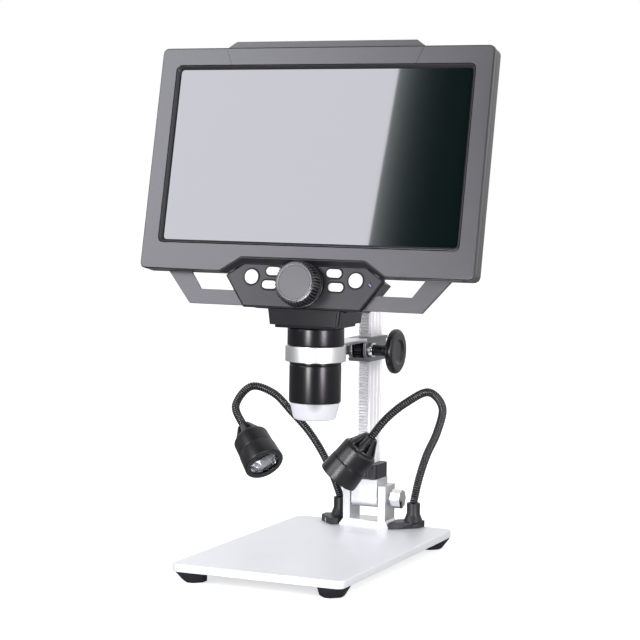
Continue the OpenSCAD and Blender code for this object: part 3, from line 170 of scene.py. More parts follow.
class Finish(Graph):
    """A procedural material around one Principled shader, on Object coordinates."""

    def __init__(self, name, **fixed):
        self.material = bpy.data.materials.new(name)
        self.material.use_nodes = True
        super().__init__(self.material.node_tree)
        self.shader = self.tree.nodes["Principled BSDF"]
        self.place = self.node("ShaderNodeTexCoord", output="Object")
        for socket, value in fixed.items():
            self.feed(self.shader.inputs[socket.replace("_", " ")], value)

    def vector(self, operation, *values):
        """Vector Math. A distance, a length or a dot product comes out as a number."""
        output = "Value" if operation in ("DISTANCE", "LENGTH", "DOT_PRODUCT") else "Vector"
        return self.node("ShaderNodeVectorMath", {"operation": operation},
                         dict(enumerate(values)), output)

    def coordinates(self):
        """The X, Y and Z of the surface, in millimetres."""
        parts = self.node("ShaderNodeSeparateXYZ", None, {"Vector": self.place})
        return [Wire(self.tree, part) / MM for part in parts.socket.node.outputs]

    def noise(self, size, stretch=(1, 1, 1), detail=2.0):
        """Cloudy noise from 0 to 1 with features of about this many millimetres."""
        scaled = self.vector("MULTIPLY", self.place,
                             tuple(1 / (size * MM * s) for s in stretch))
        return self.node("ShaderNodeTexNoise", None,
                         {"Vector": scaled, "Scale": 1.0, "Detail": detail})

    def mix(self, factor, low, high):
        """A colour that runs from low to high as factor runs from 0 to 1."""
        return self.node("ShaderNodeMix", {"data_type": "RGBA"},
                         {"Factor": factor, 6: low, 7: high}, output=2)

    def tint(self, factor, low, high):
        """Base Color runs from low to high as factor runs from 0 to 1."""
        self.feed(self.shader.inputs["Base Color"], self.mix(factor, low, high))

    def mark(self, mask, shade):
        """Base Color turns to a shade where the mask is 1."""
        slot = self.shader.inputs["Base Color"]
        ground = Wire(self.tree, slot.links[0].from_socket)
        self.feed(slot, self.mix(mask, ground, shade))

    def relief(self, height, depth):
        """Bumps of this many millimetres, from a height that runs from 0 to 1."""
        made = self.node("ShaderNodeBump", None,
                         {"Height": height, "Distance": depth * MM, "Strength": 1.0})
        self.feed(self.shader.inputs["Normal"], made)


def metal(name, low, high, roughness, grain=0.5, depth=0.006, stretch=(1, 1, 1),
          patch=25.0, spread=0.12, metallic=1.0):
    """Bare or anodised metal: slow patches in colour and sheen over a fine even grain."""
    made = Finish(name, Metallic=metallic)
    slow = made.noise(patch)
    fine = made.noise(grain, stretch, 3.0)
    made.tint(slow * 0.6 + fine * 0.4, low, high)
    made.feed(made.shader.inputs["Roughness"],
              roughness - spread / 2 + (slow * 0.5 + fine * 0.5) * spread)
    made.relief(fine, depth)
    return made


def soft_plastic(name, low, high, roughness, grain=0.35, depth=0.012, patch=30.0,
                 spread=0.1, ior=1.5):
    """Moulded plastic: a spark-eroded grain under slow patches of colour and sheen."""
    made = Finish(name, IOR=ior)
    slow = made.noise(patch)
    fine = made.noise(grain, detail=3.0)
    made.tint(slow * 0.55 + fine * 0.45, low, high)
    made.feed(made.shader.inputs["Roughness"],
              roughness - spread / 2 + (slow * 0.6 + fine * 0.4) * spread)
    made.relief(fine, depth)
    return made


NODES = frame["nodes"]


def finished(piece, finish, body, nodes, smooth=35, level=False):
    """The last steps of a new piece: its finish, shading, body and CAD nodes. Where it
    is level, large flat faces set the shading of the narrow ones beside them."""
    mesh = piece.data
    mesh.materials.clear()
    mesh.materials.append(finish.material)
    mesh.polygons.foreach_set("use_smooth", np.ones(len(mesh.polygons), bool))
    mesh.set_sharp_from_angle(angle=math.radians(smooth))
    bpy.context.scene.collection.objects.link(piece)
    if body:
        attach(piece, body)
    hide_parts(*nodes)
    if level:
        piece.modifiers.new("level faces", "WEIGHTED_NORMAL").keep_sharp = True
    return piece


def spots_of(mesh):
    """The places of a mesh's vertices, one row each."""
    spots = np.empty(len(mesh.vertices) * 3)
    mesh.vertices.foreach_get("co", spots)
    return spots.reshape(-1, 3)


NARROW = math.radians(50)


def softened(name, node, width, finish, body, segments=2, sharp=32):
    """A copy of a CAD node with its doubles merged, its flat faces joined up, and each
    edge whose faces meet at more than `sharp` degrees rounded to `width` millimetres,
    apart from the edges on either side of a narrow corner."""
    form = bmesh.new()
    form.from_mesh(NODES[node].data)
    bmesh.ops.remove_doubles(form, verts=form.verts, dist=2e-6)
    bmesh.ops.dissolve_limit(form, angle_limit=math.radians(0.3), verts=form.verts,
                             edges=form.edges, delimit=set())
    narrow = {edge for face in form.faces for corner in face.loops
              if corner.calc_angle() < NARROW
              for edge in (corner.edge, corner.link_loop_prev.edge)}
    edges = [e for e in form.edges if len(e.link_faces) == 2 and e not in narrow
             and e.calc_face_angle(0) > math.radians(sharp)]
    bmesh.ops.bevel(form, geom=edges, offset=width * MM, segments=segments, profile=0.5,
                    affect="EDGES", offset_type="OFFSET", clamp_overlap=False,
                    loop_slide=True)
    mesh = bpy.data.meshes.new(name)
    form.to_mesh(mesh)
    form.free()
    # No rounding reaches past the node's own box
    own = spots_of(NODES[node].data)
    held = np.clip(spots_of(mesh), own.min(0), own.max(0))
    mesh.vertices.foreach_set("co", held.ravel())
    return finished(bpy.data.objects.new(name, mesh), finish, body, [node],
                    level=True)


blasted = metal("blasted aluminium", (0.80, 0.81, 0.84), (0.88, 0.89, 0.92), 0.50,
                grain=0.35, depth=0.010, metallic=0.45)
softened("base_casting", "base_plate", 0.5, blasted, "stand")

# ---------------------------------------------------------------- feet
# Four moulded rubber blocks glued under the corners. Their inner sides stand upright and
# their outer sides lean in towards the table.
plate_low, plate_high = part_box("base_plate")
FOOT_H = round(plate_low[2] / MM, 3)
PLATE_RIGHT, PLATE_BACK, PLATE_TOP = (round(side / MM, 3) for side in plate_high)


def inset(outline, distance):
    """A closed outline moved inwards: each point goes along the sum of its two edges'
    normals, divided by one plus their dot product, so that the sides stay parallel."""
    edge = np.roll(outline, -1, 0) - outline
    length = np.linalg.norm(edge, axis=1, keepdims=True)
    normal = np.stack([-edge[:, 1], edge[:, 0]], 1) / np.where(length > 1e-9, length, 1)
    before = np.roll(normal, 1, 0)
    mitre = (normal + before) / np.maximum(1 + (normal * before).sum(1, keepdims=True), 0.2)
    return outline + mitre * distance


def eased(corners, radius, steps=4, closed=True):
    """An outline whose corners are replaced by short quadratic curves, each starting and
    ending `radius` away from its corner but never past the middle of an edge."""
    p = np.asarray(corners, float)
    radius = np.broadcast_to(np.asarray(radius, float), len(p))[:, None]

    def reach(edge):
        length = np.linalg.norm(edge, axis=1, keepdims=True)
        return edge / np.maximum(length, 1e-9) * np.minimum(radius, length * 0.49)

    a, b = p + reach(np.roll(p, 1, 0) - p), p + reach(np.roll(p, -1, 0) - p)
    t = np.linspace(0, 1, steps + 1)[None, :, None]
    curve = (1 - t) ** 2 * a[:, None] + 2 * t * (1 - t) * p[:, None] + t ** 2 * b[:, None]
    if closed:
        return curve.reshape(-1, p.shape[1])
    return np.concatenate([p[:1], curve[1:-1].reshape(-1, p.shape[1]), p[-1:]])


def rounded_rectangle(low, high, radius, steps=6):
    """Anticlockwise outline of a rectangle with circular corners."""
    corners = np.array([[high[0], low[1]], [high[0], high[1]], [low[0], high[1]],
                        [low[0], low[1]]], float)
    centres = corners + radius * np.array([[-1, 1], [-1, -1], [1, -1], [1, 1]])
    quarter = math.pi / 2
    turn = (np.arange(4)[:, None] - 1) * quarter + np.linspace(0, quarter, steps + 1)
    return (centres[:, None] + radius * np.stack([np.cos(turn), np.sin(turn)], -1)
            ).reshape(-1, 2)


def skin(name, grids, finish, body, nodes, ends="capped", smooth=35, level=False):
    """A mesh from grids[g][i, j]: point j of ring i of shell g. Every ring is closed and
    quads join it to the next ring. The first and last ring are closed by a flat face, or
    with ends="joined" the last ring is joined to the first."""
    points, faces, start = [], [], 0
    for grid in grids:
        rings, around = grid.shape[:2]
        index = start + np.arange(rings * around).reshape(rings, around)
        low = index if ends == "joined" else index[:-1]
        high = np.roll(index, -1, 0) if ends == "joined" else index[1:]
        faces += np.stack([low, np.roll(low, -1, 1), np.roll(high, -1, 1), high],
                          -1).reshape(-1, 4).tolist()
        if ends == "capped":
            faces += [index[0, ::-1].tolist(), index[-1].tolist()]
        points.append(grid.reshape(-1, 3) * MM)
        start += rings * around
    mesh = bpy.data.meshes.new(name)
    mesh.from_pydata(np.concatenate(points), [], faces)
    form = bmesh.new()
    form.from_mesh(mesh)
    bmesh.ops.remove_doubles(form, verts=form.verts, dist=2e-7)
    bmesh.ops.recalc_face_normals(form, faces=form.faces)
    form.to_mesh(mesh)
    form.free()
    return finished(bpy.data.objects.new(name, mesh), finish, body, nodes, smooth,
                    level)


FOOT_W, FOOT_D, FOOT_LEAN, FOOT_CORNER = 18.5, 19.0, 4.5, 5.0


def foot_grid(side, end):
    """One foot: a rounded square whose outer sides lean in towards the table. Each
    station is how far its edge is eased, and its height."""
    rings = []
    for ease, z in ((0.9, 0.0), (0.25, 0.25), (0.0, 0.9), (0.0, FOOT_H - 0.6),
                    (0.25, FOOT_H - 0.15), (0.6, FOOT_H)):
        pull = FOOT_LEAN * (1 - z / FOOT_H)
        low, high = (-FOOT_W / 2, -FOOT_D / 2), (FOOT_W / 2 - pull, FOOT_D / 2 - pull)
        outline = inset(rounded_rectangle(low, high, FOOT_CORNER, 1), ease)
        rings.append(np.column_stack([outline, np.full(len(outline), z)]))
    grid = np.array(rings) + (PLATE_RIGHT - FOOT_W / 2, PLATE_BACK - FOOT_D / 2, 0)
    return grid * (side, end, 1)


rubber = soft_plastic("foot rubber", (0.012, 0.012, 0.016), (0.022, 0.022, 0.028), 0.62,
                      grain=0.5, depth=0.02, ior=1.36)
skin("rubber_feet", [foot_grid(s, e) for s in (-1, 1) for e in (-1, 1)], rubber, "stand",
     ["feet"], level=True)


def dress(finish, *nodes):
    """Gives CAD nodes that keep their shape a finish."""
    for node in nodes:
        NODES[node].data.materials.clear()
        NODES[node].data.materials.append(finish.material)


nickel = metal("nickelled steel", (0.70, 0.71, 0.69), (0.82, 0.82, 0.80), 0.14,
               grain=0.2, depth=0.004)
dress(nickel, "stand_screws", "arm_screws", "case_screws")

# ---------------------------------------------------------------- tilt bracket
# A U milled from one aluminium bar, with a flared foot, satin anodised in white silver.
# The nickelled tilt screw goes through it, with a faceted thumb head on the right.
satin_white = metal("satin anodised aluminium", (0.58, 0.59, 0.61), (0.66, 0.66, 0.68),
                    0.26, grain=0.3, depth=0.005, metallic=0.6)
softened("tilt_yoke", "tilt_bracket", 0.4, satin_white, "stand")
softened("thumb_screw", "tilt_screw", 0.3, nickel, "tilt_clamp")

# ---------------------------------------------------------------- lamp feet
# Glass-filled black plastic, each screwed down beside the bracket, with a flared socket
# that the gooseneck turns in.
black_plastic = soft_plastic("black moulded plastic", (0.012, 0.012, 0.014),
                             (0.022, 0.022, 0.025), 0.42, ior=1.36)
for side in ("right", "left"):
    softened(f"socket_foot_{side}", f"lamp_foot_{side}", 0.45, black_plastic, "stand")

# ---------------------------------------------------------------- column
# A block between the bracket's pillars carries a black collar and a drawn aluminium
# extrusion with fine grooves. A steel rack is screwed down its front, a cap closes it.
softened("tilt_shoe", "tilt_block", 0.7, satin_white, "column_assembly",
         segments=3)
softened("clamp_collar", "column_collar", 0.35, black_plastic, "column_assembly")
drawn = metal("drawn aluminium", (0.86, 0.85, 0.89), (0.95, 0.94, 0.97), 0.34, grain=0.12,
              depth=0.004, stretch=(1, 1, 90), patch=60, spread=0.1, metallic=0.2)
softened("column_bar", "column", 0.3, drawn, "column_assembly")
rack_steel = metal("cut rack steel", (0.58, 0.58, 0.59), (0.74, 0.74, 0.75), 0.28,
                   grain=0.2, stretch=(30, 1, 1), depth=0.006, metallic=0.35)
dress(rack_steel, "rack")
softened("end_cap", "column_cap", 0.5, black_plastic, "column_assembly")

# ---------------------------------------------------------------- carriage and arm
# The carriage is milled from solid aluminium, darkened as painted shade, and slides on the
# column. The arm is bolted to its front and ends in the ring that the barrel turns in.
milled = metal("milled aluminium", (0.64, 0.65, 0.65), (0.72, 0.72, 0.72), 0.38, grain=0.25,
               depth=0.005, stretch=(1, 12, 1))
# A darker copy of the aluminium: painted shade on the carriage
shade_darkened_aluminium = metal("aluminium darkened as painted shade", (0.14, 0.145, 0.15),
                      (0.26, 0.265, 0.28), 0.36, grain=0.25, depth=0.006,
                      stretch=(1, 12, 1))
softened("slide_carriage", "carriage", 0.3, shade_darkened_aluminium, "carriage_assembly")
softened("ring_arm", "support_arm", 0.4, milled, "carriage_assembly")

# ---------------------------------------------------------------- height drive
# A blackened pinion on a steel shaft, a turned silver bushing, and a knob turned from
# black acetal with a dished face.
JOINT_AT = {joint["name"]: np.round(np.array(joint["pos_m"]) / MM, 3)
            for joint in frame["joints"] if joint.get("pos_m")}
PINION = JOINT_AT["height_knob_turn"]
ACROSS = (1, 0, 0)


def turned(profile, centre, axis, sides=96):
    """A turned form: point = centre + r (cos t a + sin t b) + z axis, for each (r, z) of
    the profile and each turn t, where a and b are at right angles to the axis."""
    axis = np.asarray(axis, float) / np.linalg.norm(axis)
    a = np.cross(axis, (0.0, 0.0, 1.0) if abs(axis[2]) < 0.9 else (0.0, 1.0, 0.0))
    a /= np.linalg.norm(a)
    b = np.cross(axis, a)
    t = np.linspace(0, 2 * math.pi, sides, endpoint=False)
    r, z = np.asarray(profile, float).T
    spokes = np.cos(t)[:, None] * a + np.sin(t)[:, None] * b
    return np.asarray(centre, float) + r[:, None, None] * spokes + z[:, None, None] * axis


blackened = metal("blackened steel", (0.035, 0.035, 0.040), (0.07, 0.07, 0.08), 0.38)
dress(blackened, "pinion_shaft")
skin("silver_bushing", [turned(eased([(1.8, 6.4), (4.8, 6.4), (4.8, 10.0), (1.8, 10.0)],
                                     0.35), PINION, ACROSS, 64)],
     nickel, "carriage_assembly", ["shaft_bushing"], ends="joined")
knob_black = soft_plastic("polished black acetal", (0.006, 0.006, 0.007),
                          (0.011, 0.011, 0.013), 0.24, grain=0.6, depth=0.004, ior=1.4)
# Places along the shaft: the hub's end, the knob's back and the knob's face
HUB_FROM, KNOB_FROM, KNOB_FACE = 10.35, 22.8, 27.7
KNOB_R, HUB_R, CENTRE_R = 14.8, 3.9, 0.4
knob_profile = eased([
    (CENTRE_R, KNOB_FACE - 1.2), (6.9, KNOB_FACE - 1.2), (8.0, KNOB_FACE - 0.15),
    (9.0, KNOB_FACE), (13.2, KNOB_FACE - 0.05), (KNOB_R, KNOB_FACE - 1.3),
    (KNOB_R, KNOB_FROM + 1.0), (13.9, KNOB_FROM), (HUB_R + 3.4, KNOB_FROM - 0.1),
    (HUB_R, KNOB_FROM - 6.0), (HUB_R, HUB_FROM), (CENTRE_R, HUB_FROM)],
    0.7, 5, closed=False)
skin("height_wheel", [turned(knob_profile, PINION, ACROSS)], knob_black, "height_drive",
     ["height_knob"])

# ---------------------------------------------------------------- barrel
# Two turned aluminium tubes, black anodised, screwed together through the arm's ring.
# A frosted cap under them spreads the light of a ring of LEDs.
BARREL = JOINT_AT["head_swivel"] * (1, 1, 0)
UP = (0, 0, 1)
# Heights of the cap, of the joint between the tubes, of its thread's end and of the top
CAP_FROM, CAP_TOP, SPLIT, SCREWED_TO, BARREL_TOP = 94.5, 105.5, 131.6, 135.6, 157.3
TUBE_BORE, THREAD_R, TUBE_R, COLLAR_R = 14.6, 15.7, 16.5, 18.0
anodised = soft_plastic("black anodised aluminium", (0.003, 0.003, 0.004),
                        (0.006, 0.006, 0.008), 0.26, grain=0.3, depth=0.004, ior=1.34)
upper_profile = eased([
    (THREAD_R, SPLIT + 0.05), (16.9, SPLIT + 0.05), (16.95, 141.65), (17.6, 141.65),
    (COLLAR_R, 142.2), (COLLAR_R, 152.4), (17.3, 153.3), (16.3, 153.3),
    (16.3, BARREL_TOP), (TUBE_BORE, BARREL_TOP), (TUBE_BORE, SCREWED_TO),
    (THREAD_R, SCREWED_TO)], 0.3, 3)
skin("barrel_upper_tube", [turned(upper_profile, BARREL, UP)], anodised, "head",
     ["upper_barrel"], ends="joined")
lower_profile = eased([
    (TUBE_BORE, CAP_TOP), (15.9, CAP_TOP), (TUBE_R, CAP_TOP + 0.7), (TUBE_R, 129.2),
    (16.2, 129.45), (16.2, 129.75), (TUBE_R, 130.0), (TUBE_R, SPLIT - 0.05),
    (THREAD_R, SPLIT), (THREAD_R, SCREWED_TO), (TUBE_BORE, SCREWED_TO)], 0.25, 3)
skin("barrel_lower_tube", [turned(lower_profile, BARREL, UP)], anodised, "head",
     ["lower_barrel"], ends="joined")

frosted = Finish("frosted polycarbonate", Roughness=0.42, IOR=1.5, Subsurface_Weight=0.35,
                 Subsurface_Scale=0.004)
frosted.shader.inputs["Subsurface Radius"].default_value = (1.0, 1.0, 1.1)
frosted.tint(frosted.noise(9), (0.65, 0.66, 0.70), (0.72, 0.72, 0.76))
frosted.relief(frosted.noise(0.3, detail=3), 0.01)
# A soft grey patch of painted shade stands where the lens cell behind it shows through
SHADE_PATCH_AT, SHADE_PATCH_R = np.array([6.2, -23.7, 105.0]), 5.5
away = frosted.vector("DISTANCE", frosted.place, tuple(SHADE_PATCH_AT * MM))
frosted.mark((1.0 - away / (SHADE_PATCH_R * MM)).at_least(0.0) * 0.8, (0.30, 0.29, 0.32))
WINDOW_R, CAP_WALL = 7.0, 1.6
cap_profile = eased([
    (WINDOW_R, CAP_FROM), (11.4, CAP_FROM), (13.2, CAP_FROM + 0.7), (13.9, CAP_FROM + 2.5),
    (15.9, CAP_TOP - 0.1), (15.9, CAP_TOP), (15.9 - CAP_WALL, CAP_TOP), (12.2, 97.3),
    (11.0, CAP_FROM + CAP_WALL), (WINDOW_R, CAP_FROM + CAP_WALL)], 0.6, 4)
skin("light_cap", [turned(cap_profile, BARREL, UP)], frosted, "head", ["diffuser_cap"],
     ends="joined")

board_green = soft_plastic("green circuit board", (0.010, 0.10, 0.045), (0.02, 0.16, 0.07),
                           0.4, grain=0.8, depth=0.02)
inner_black = soft_plastic("matt black inner plastic", (0.014, 0.014, 0.015),
                           (0.022, 0.022, 0.024), 0.6)
optic = Finish("coated optical glass", Roughness=0.02, IOR=1.52, Transmission_Weight=0.9)
optic.tint(optic.noise(6), (0.72, 0.80, 0.92), (0.82, 0.88, 0.96))
dress(board_green, "led_ring", "sensor_board", "main_board", "button_board")
dress(inner_black, "lens_cell")
dress(optic, "objective_lens")

# ---------------------------------------------------------------- optics box
# A two-part moulding in dark grey that joins the barrel to the display's housing. Its
# sides are drafted and it has an inset lip where the barrel enters.
box_plastic = soft_plastic("dark grey moulded box", (0.007, 0.007, 0.009),
                           (0.013, 0.013, 0.016), 0.22, ior=1.32)
housing = softened("optics_housing", "optics_box", 0.6, box_plastic, "head",
                   segments=3)


def scored(piece, at, along, width, depth):
    """Scores a narrow groove round a piece where a plane cuts it: three cuts side by
    side, of which the middle one is pulled in along its normals."""
    form = bmesh.new()
    form.from_mesh(piece.data)
    for offset in (-0.5, 0.5, 0.0):
        cut = bmesh.ops.bisect_plane(
            form, geom=form.verts[:] + form.edges[:] + form.faces[:], dist=1e-6,
            plane_co=(Vector(at) + Vector(along) * width * offset) * MM, plane_no=along)
    form.normal_update()
    for vertex in (v for v in cut["geom_cut"] if isinstance(v, bmesh.types.BMVert)):
        vertex.co -= vertex.normal * depth * MM
    form.to_mesh(piece.data)
    form.free()


# The seam between the box's front cover and its rear half
SEAM_Y, SEAM_W = -26.4, 2.6
scored(housing, (0, SEAM_Y, 0), (0, 1, 0), SEAM_W, 0.8)
# The groove is painted near-black along its width: painted shade in the gap between the halves
box_y = box_plastic.coordinates()[1]
box_plastic.mark(abs(box_y - SEAM_Y) < SEAM_W * 0.45, (0.002, 0.002, 0.002))

# ---------------------------------------------------------------- display
# Bezel and rear shell are moulded in grey plastic and screwed together from behind. The
# display's frame has U across, V up the screen and N out of it.
LEAN = math.radians(12.0)
UP_SCREEN = np.array([0, math.sin(LEAN), math.cos(LEAN)])
OUT = np.array([0, -math.cos(LEAN), math.sin(LEAN)])
# The screen's centre and size, then the bezel's edges and its recess in U and V
SCREEN_Y, SCREEN_Z = -19.145, 261.298
SCREEN_W, SCREEN_H = 200.0, 111.5
BEZEL_HALF, BEZEL_HI, BEZEL_LO = 113.3, 69.35, -75.15
RECESS_HALF, RECESS_TOP_HALF, RECESS_TOP = 56.8, 42.0, -65.65
# The upper part of the control panel, which the recess narrows to at its back
PANEL_HALF, PANEL_TOP_HALF, PANEL_TOP = 52.8, 41.5, -69.25


def on_display(u, v, n):
    """A point of the display's frame: u across, v up the leaning screen, n out of it."""
    u, v, n = np.broadcast_arrays(*(np.asarray(q, float) for q in (u, v, n)))
    return np.stack([u, SCREEN_Y + v * math.sin(LEAN) - n * math.cos(LEAN),
                     SCREEN_Z + v * math.cos(LEAN) + n * math.sin(LEAN)], -1)


def rings_on_display(stations):
    """Rings of points from pairs of an outline in the screen's plane and its depth."""
    return np.array([on_display(o[:, 0], o[:, 1], n) for o, n in stations])


def stepped(outline, steps):
    """Rings that repeat one outline, inset by d at depth n for each pair (d, n)."""
    return rings_on_display([(inset(outline, d), n) for d, n in steps])


# Pieces of the short curve at each corner of the bezel's outlines
KEY_STEPS = 6


def bezel_outline(recess_half, recess_top, top_half):
    """The bezel's outline at one depth, from eight corners: the recess over the control
    panel is cut up into its bottom edge."""
    keys = [(-BEZEL_HALF, BEZEL_LO), (-recess_half, BEZEL_LO), (-top_half, recess_top),
            (top_half, recess_top), (recess_half, BEZEL_LO), (BEZEL_HALF, BEZEL_LO),
            (BEZEL_HALF, BEZEL_HI), (-BEZEL_HALF, BEZEL_HI)]
    return eased(keys, [4.2, 0.8, 1.2, 1.2, 0.8, 4.2, 4.2, 4.2], KEY_STEPS)


def opening_outline(grow, corner):
    """The screen's opening, with the same number of points as the bezel's outline."""
    half, v = SCREEN_W / 2 + grow, SCREEN_H / 2 + grow
    keys = [(-half, -v), (-RECESS_HALF, -v), (-RECESS_TOP_HALF, -v), (RECESS_TOP_HALF, -v),
            (RECESS_HALF, -v), (half, -v), (half, v), (-half, v)]
    return eased(keys, [corner, 0.5, 0.5, 0.5, 0.5, corner, corner, corner], KEY_STEPS)


# The front edge is rounded, less so along the recess
FRONT_ROUND = np.repeat([0.9, 0.35, 0.35, 0.35, 0.35, 0.9, 0.9, 0.9], KEY_STEPS + 1)


def front_edge(outline, turn):
    """The outline at one step of its rounded front edge, and how deep it is there."""
    return (inset(outline, (FRONT_ROUND * (1 - math.cos(turn)))[:, None]),
            -FRONT_ROUND * (1 - math.sin(turn)))


bezel_plastic = soft_plastic("grey moulded bezel", (0.036, 0.035, 0.041),
                             (0.060, 0.058, 0.067), 0.31, grain=0.9, depth=0.020, patch=60)
# A thin joint line runs down from each end of the ridge to the glass, leaning outwards
RIDGE_HALF, RIDGE_V, JOINT_SLOPE, JOINT_FROM, JOINT_HALF = 63.8, 60.0, 0.415, 57.5, 0.3
bezel_x, bezel_y, bezel_z = bezel_plastic.coordinates()
up_screen = (bezel_z - SCREEN_Z) / math.cos(LEAN)
off_line = abs(bezel_x) - RIDGE_HALF - (up_screen - RIDGE_V) * JOINT_SLOPE
bezel_plastic.mark((abs(off_line) < JOINT_HALF) * (up_screen > JOINT_FROM),
                   (0.003, 0.003, 0.003))
# The front's outer edge is painted darker: painted shade along the rounded edge
EDGE_SHADE, EDGE_SHADE_DEPTH = 0.75, 0.85
outwards = (bezel_z - SCREEN_Z) * math.sin(LEAN) - (bezel_y - SCREEN_Y) * math.cos(LEAN)
beyond = (abs(bezel_x) - (BEZEL_HALF - EDGE_SHADE)).at_least(
    up_screen - (BEZEL_HI - EDGE_SHADE)).at_least((BEZEL_LO + EDGE_SHADE) - up_screen)
bezel_plastic.mark((beyond > 0.0) * (outwards > -EDGE_SHADE_DEPTH), (0.014, 0.014, 0.015))

face_outer = bezel_outline(RECESS_HALF, RECESS_TOP, RECESS_TOP_HALF)
back_outer = bezel_outline(PANEL_HALF, PANEL_TOP, PANEL_TOP_HALF)
stations = ([(inset(back_outer, 0.5), -4.5), (back_outer, -3.9),
             (0.42 * back_outer + 0.58 * face_outer, -2.6)]
            + [front_edge(face_outer, math.radians(a)) for a in (0, 22.5, 45, 67.5, 90)]
            + [(opening_outline(2.45, 4.2), 0.0), (opening_outline(2.25, 4.1), -0.12),
               (opening_outline(2.15, 4.1), -0.6), (opening_outline(2.15, 3.8), -2.9),
               (opening_outline(2.5, 3.8), -3.0), (opening_outline(2.6, 3.8), -4.5)])
skin("bezel_moulding", [rings_on_display(stations)], bezel_plastic, "head",
     ["front_bezel"], ends="joined", smooth=25, level=True)

# A separate trim slopes down to the glass, and a black gasket runs round the glass
trim = [(opening_outline(1.8, 3.8), -0.7), (opening_outline(1.75, 3.8), -0.2),
        (opening_outline(1.45, 3.5), -0.1), (opening_outline(0.65, 3.0), -2.55),
        (opening_outline(0.6, 3.0), -2.95), (opening_outline(1.8, 3.8), -2.95)]
skin("screen_trim", [rings_on_display(trim)], bezel_plastic, "head", [],
     ends="joined", smooth=25)
gasket = [(opening_outline(2.0, 3.8), -2.95), (opening_outline(0.6, 3.0), -2.8),
          (opening_outline(-0.2, 2.4), -2.8), (opening_outline(-0.25, 2.4), -2.99)]
seal_black = soft_plastic("black seal", (0.004, 0.004, 0.005), (0.008, 0.008, 0.009), 0.5,
                          ior=1.25)
skin("screen_gasket", [rings_on_display(gasket)], seal_black, "head", [],
     ends="joined", smooth=25)


def shade_strip_outline(recess_half, recess_top, top_half):
    """A thin band of painted shade under the recess's three walls, at one depth."""
    path = eased([(-recess_half, BEZEL_LO), (-top_half, recess_top), (top_half, recess_top),
                  (recess_half, BEZEL_LO)], 1.0, 4, closed=False)
    return np.concatenate([path - (0, 0.05), path[::-1] - (0, 0.5)])


# A black strip over the recess's walls stands in for the shade that falls there: painted shade.
# It also hides the joint with the control panel
shade_strip = [(shade_strip_outline(56.4, -66.0, 41.95), -0.45),
          (shade_strip_outline(54.6, -67.5, 41.7), -2.4),
          (shade_strip_outline(PANEL_HALF + 0.1, PANEL_TOP + 0.15, PANEL_TOP_HALF), -4.5)]
skin("recess_shade_strip", [rings_on_display(shade_strip)], black_plastic, "head", [],
     smooth=25)

shell_plastic = soft_plastic("grey moulded shell", (0.030, 0.031, 0.032),
                             (0.050, 0.051, 0.053), 0.36, grain=0.9, depth=0.020, patch=60)
softened("rear_moulding", "rear_shell", 0.5, shell_plastic, "head", sharp=28)

# The cover glass is chemically hardened, with a black printed border at its back.
GLASS_HALF, GLASS_V = 102.3, 58.05
dark_glass = Finish("black cover glass", Roughness=0.022, IOR=1.5, Specular_IOR_Level=1.0)
dark_glass.tint(dark_glass.noise(40), (0.002, 0.006, 0.006), (0.004, 0.008, 0.008))
glass_edge = rounded_rectangle((-GLASS_HALF, -GLASS_V), (GLASS_HALF, GLASS_V), 2.0)
skin("screen_cover", [stepped(glass_edge, [(0.2, -4.1), (0.0, -3.9), (0.0, -3.2),
                                           (0.2, -3.01)])],
     dark_glass, "head", ["cover_glass"])
screen_black = soft_plastic("switched-off panel", (0.008, 0.009, 0.010),
                            (0.012, 0.013, 0.014), 0.3)
dress(screen_black, "lcd_panel")
wrap = soft_plastic("battery wrap", (0.10, 0.14, 0.22), (0.14, 0.19, 0.28), 0.35)
dress(wrap, "battery_pack")
dress(nickel, "port_block")

# ---------------------------------------------------------------- control panel
# A thin face plate over a deep housing, between two flat wings with openings that serve
# as handles. The buttons are separate white caps in black seals.
PANEL_FACE, PANEL_SIDE_V, PANEL_FOOT_HALF, PANEL_FOOT = -5.0, -77.15, 39.4, -95.75
panel_plastic = soft_plastic("grey moulded panel", (0.016, 0.015, 0.018),
                             (0.028, 0.027, 0.031), 0.31, grain=0.9, depth=0.020, ior=1.35)
softened("panel_plate", "control_panel", 0.25, panel_plastic, "head")
dress(bezel_plastic, "wing_frame")
panel_edge = np.array([
    (-PANEL_TOP_HALF, PANEL_TOP), (-PANEL_HALF, PANEL_SIDE_V), (-PANEL_FOOT_HALF, PANEL_FOOT),
    (PANEL_FOOT_HALF, PANEL_FOOT), (PANEL_HALF, PANEL_SIDE_V), (PANEL_TOP_HALF, PANEL_TOP)])
skin("panel_gasket", [stepped(panel_edge, [
    (0.1, PANEL_FACE - 0.35), (-0.55, PANEL_FACE - 0.35), (-0.65, PANEL_FACE - 0.45),
    (-0.65, PANEL_FACE - 2.95), (0.1, PANEL_FACE - 2.95)])],
     seal_black, "head", [], ends="joined", smooth=30)

white_cap = soft_plastic("white button plastic", (0.84, 0.84, 0.83), (0.90, 0.90, 0.89),
                         0.32, grain=0.5, depth=0.006)


def pill(centre, length, height, steps=10):
    """Outline of a bar with half-round ends, or a circle when both sizes are equal."""
    return np.asarray(centre) + rounded_rectangle(
        (-length / 2, -height / 2), (length / 2, height / 2), height / 2 - 1e-4, steps)


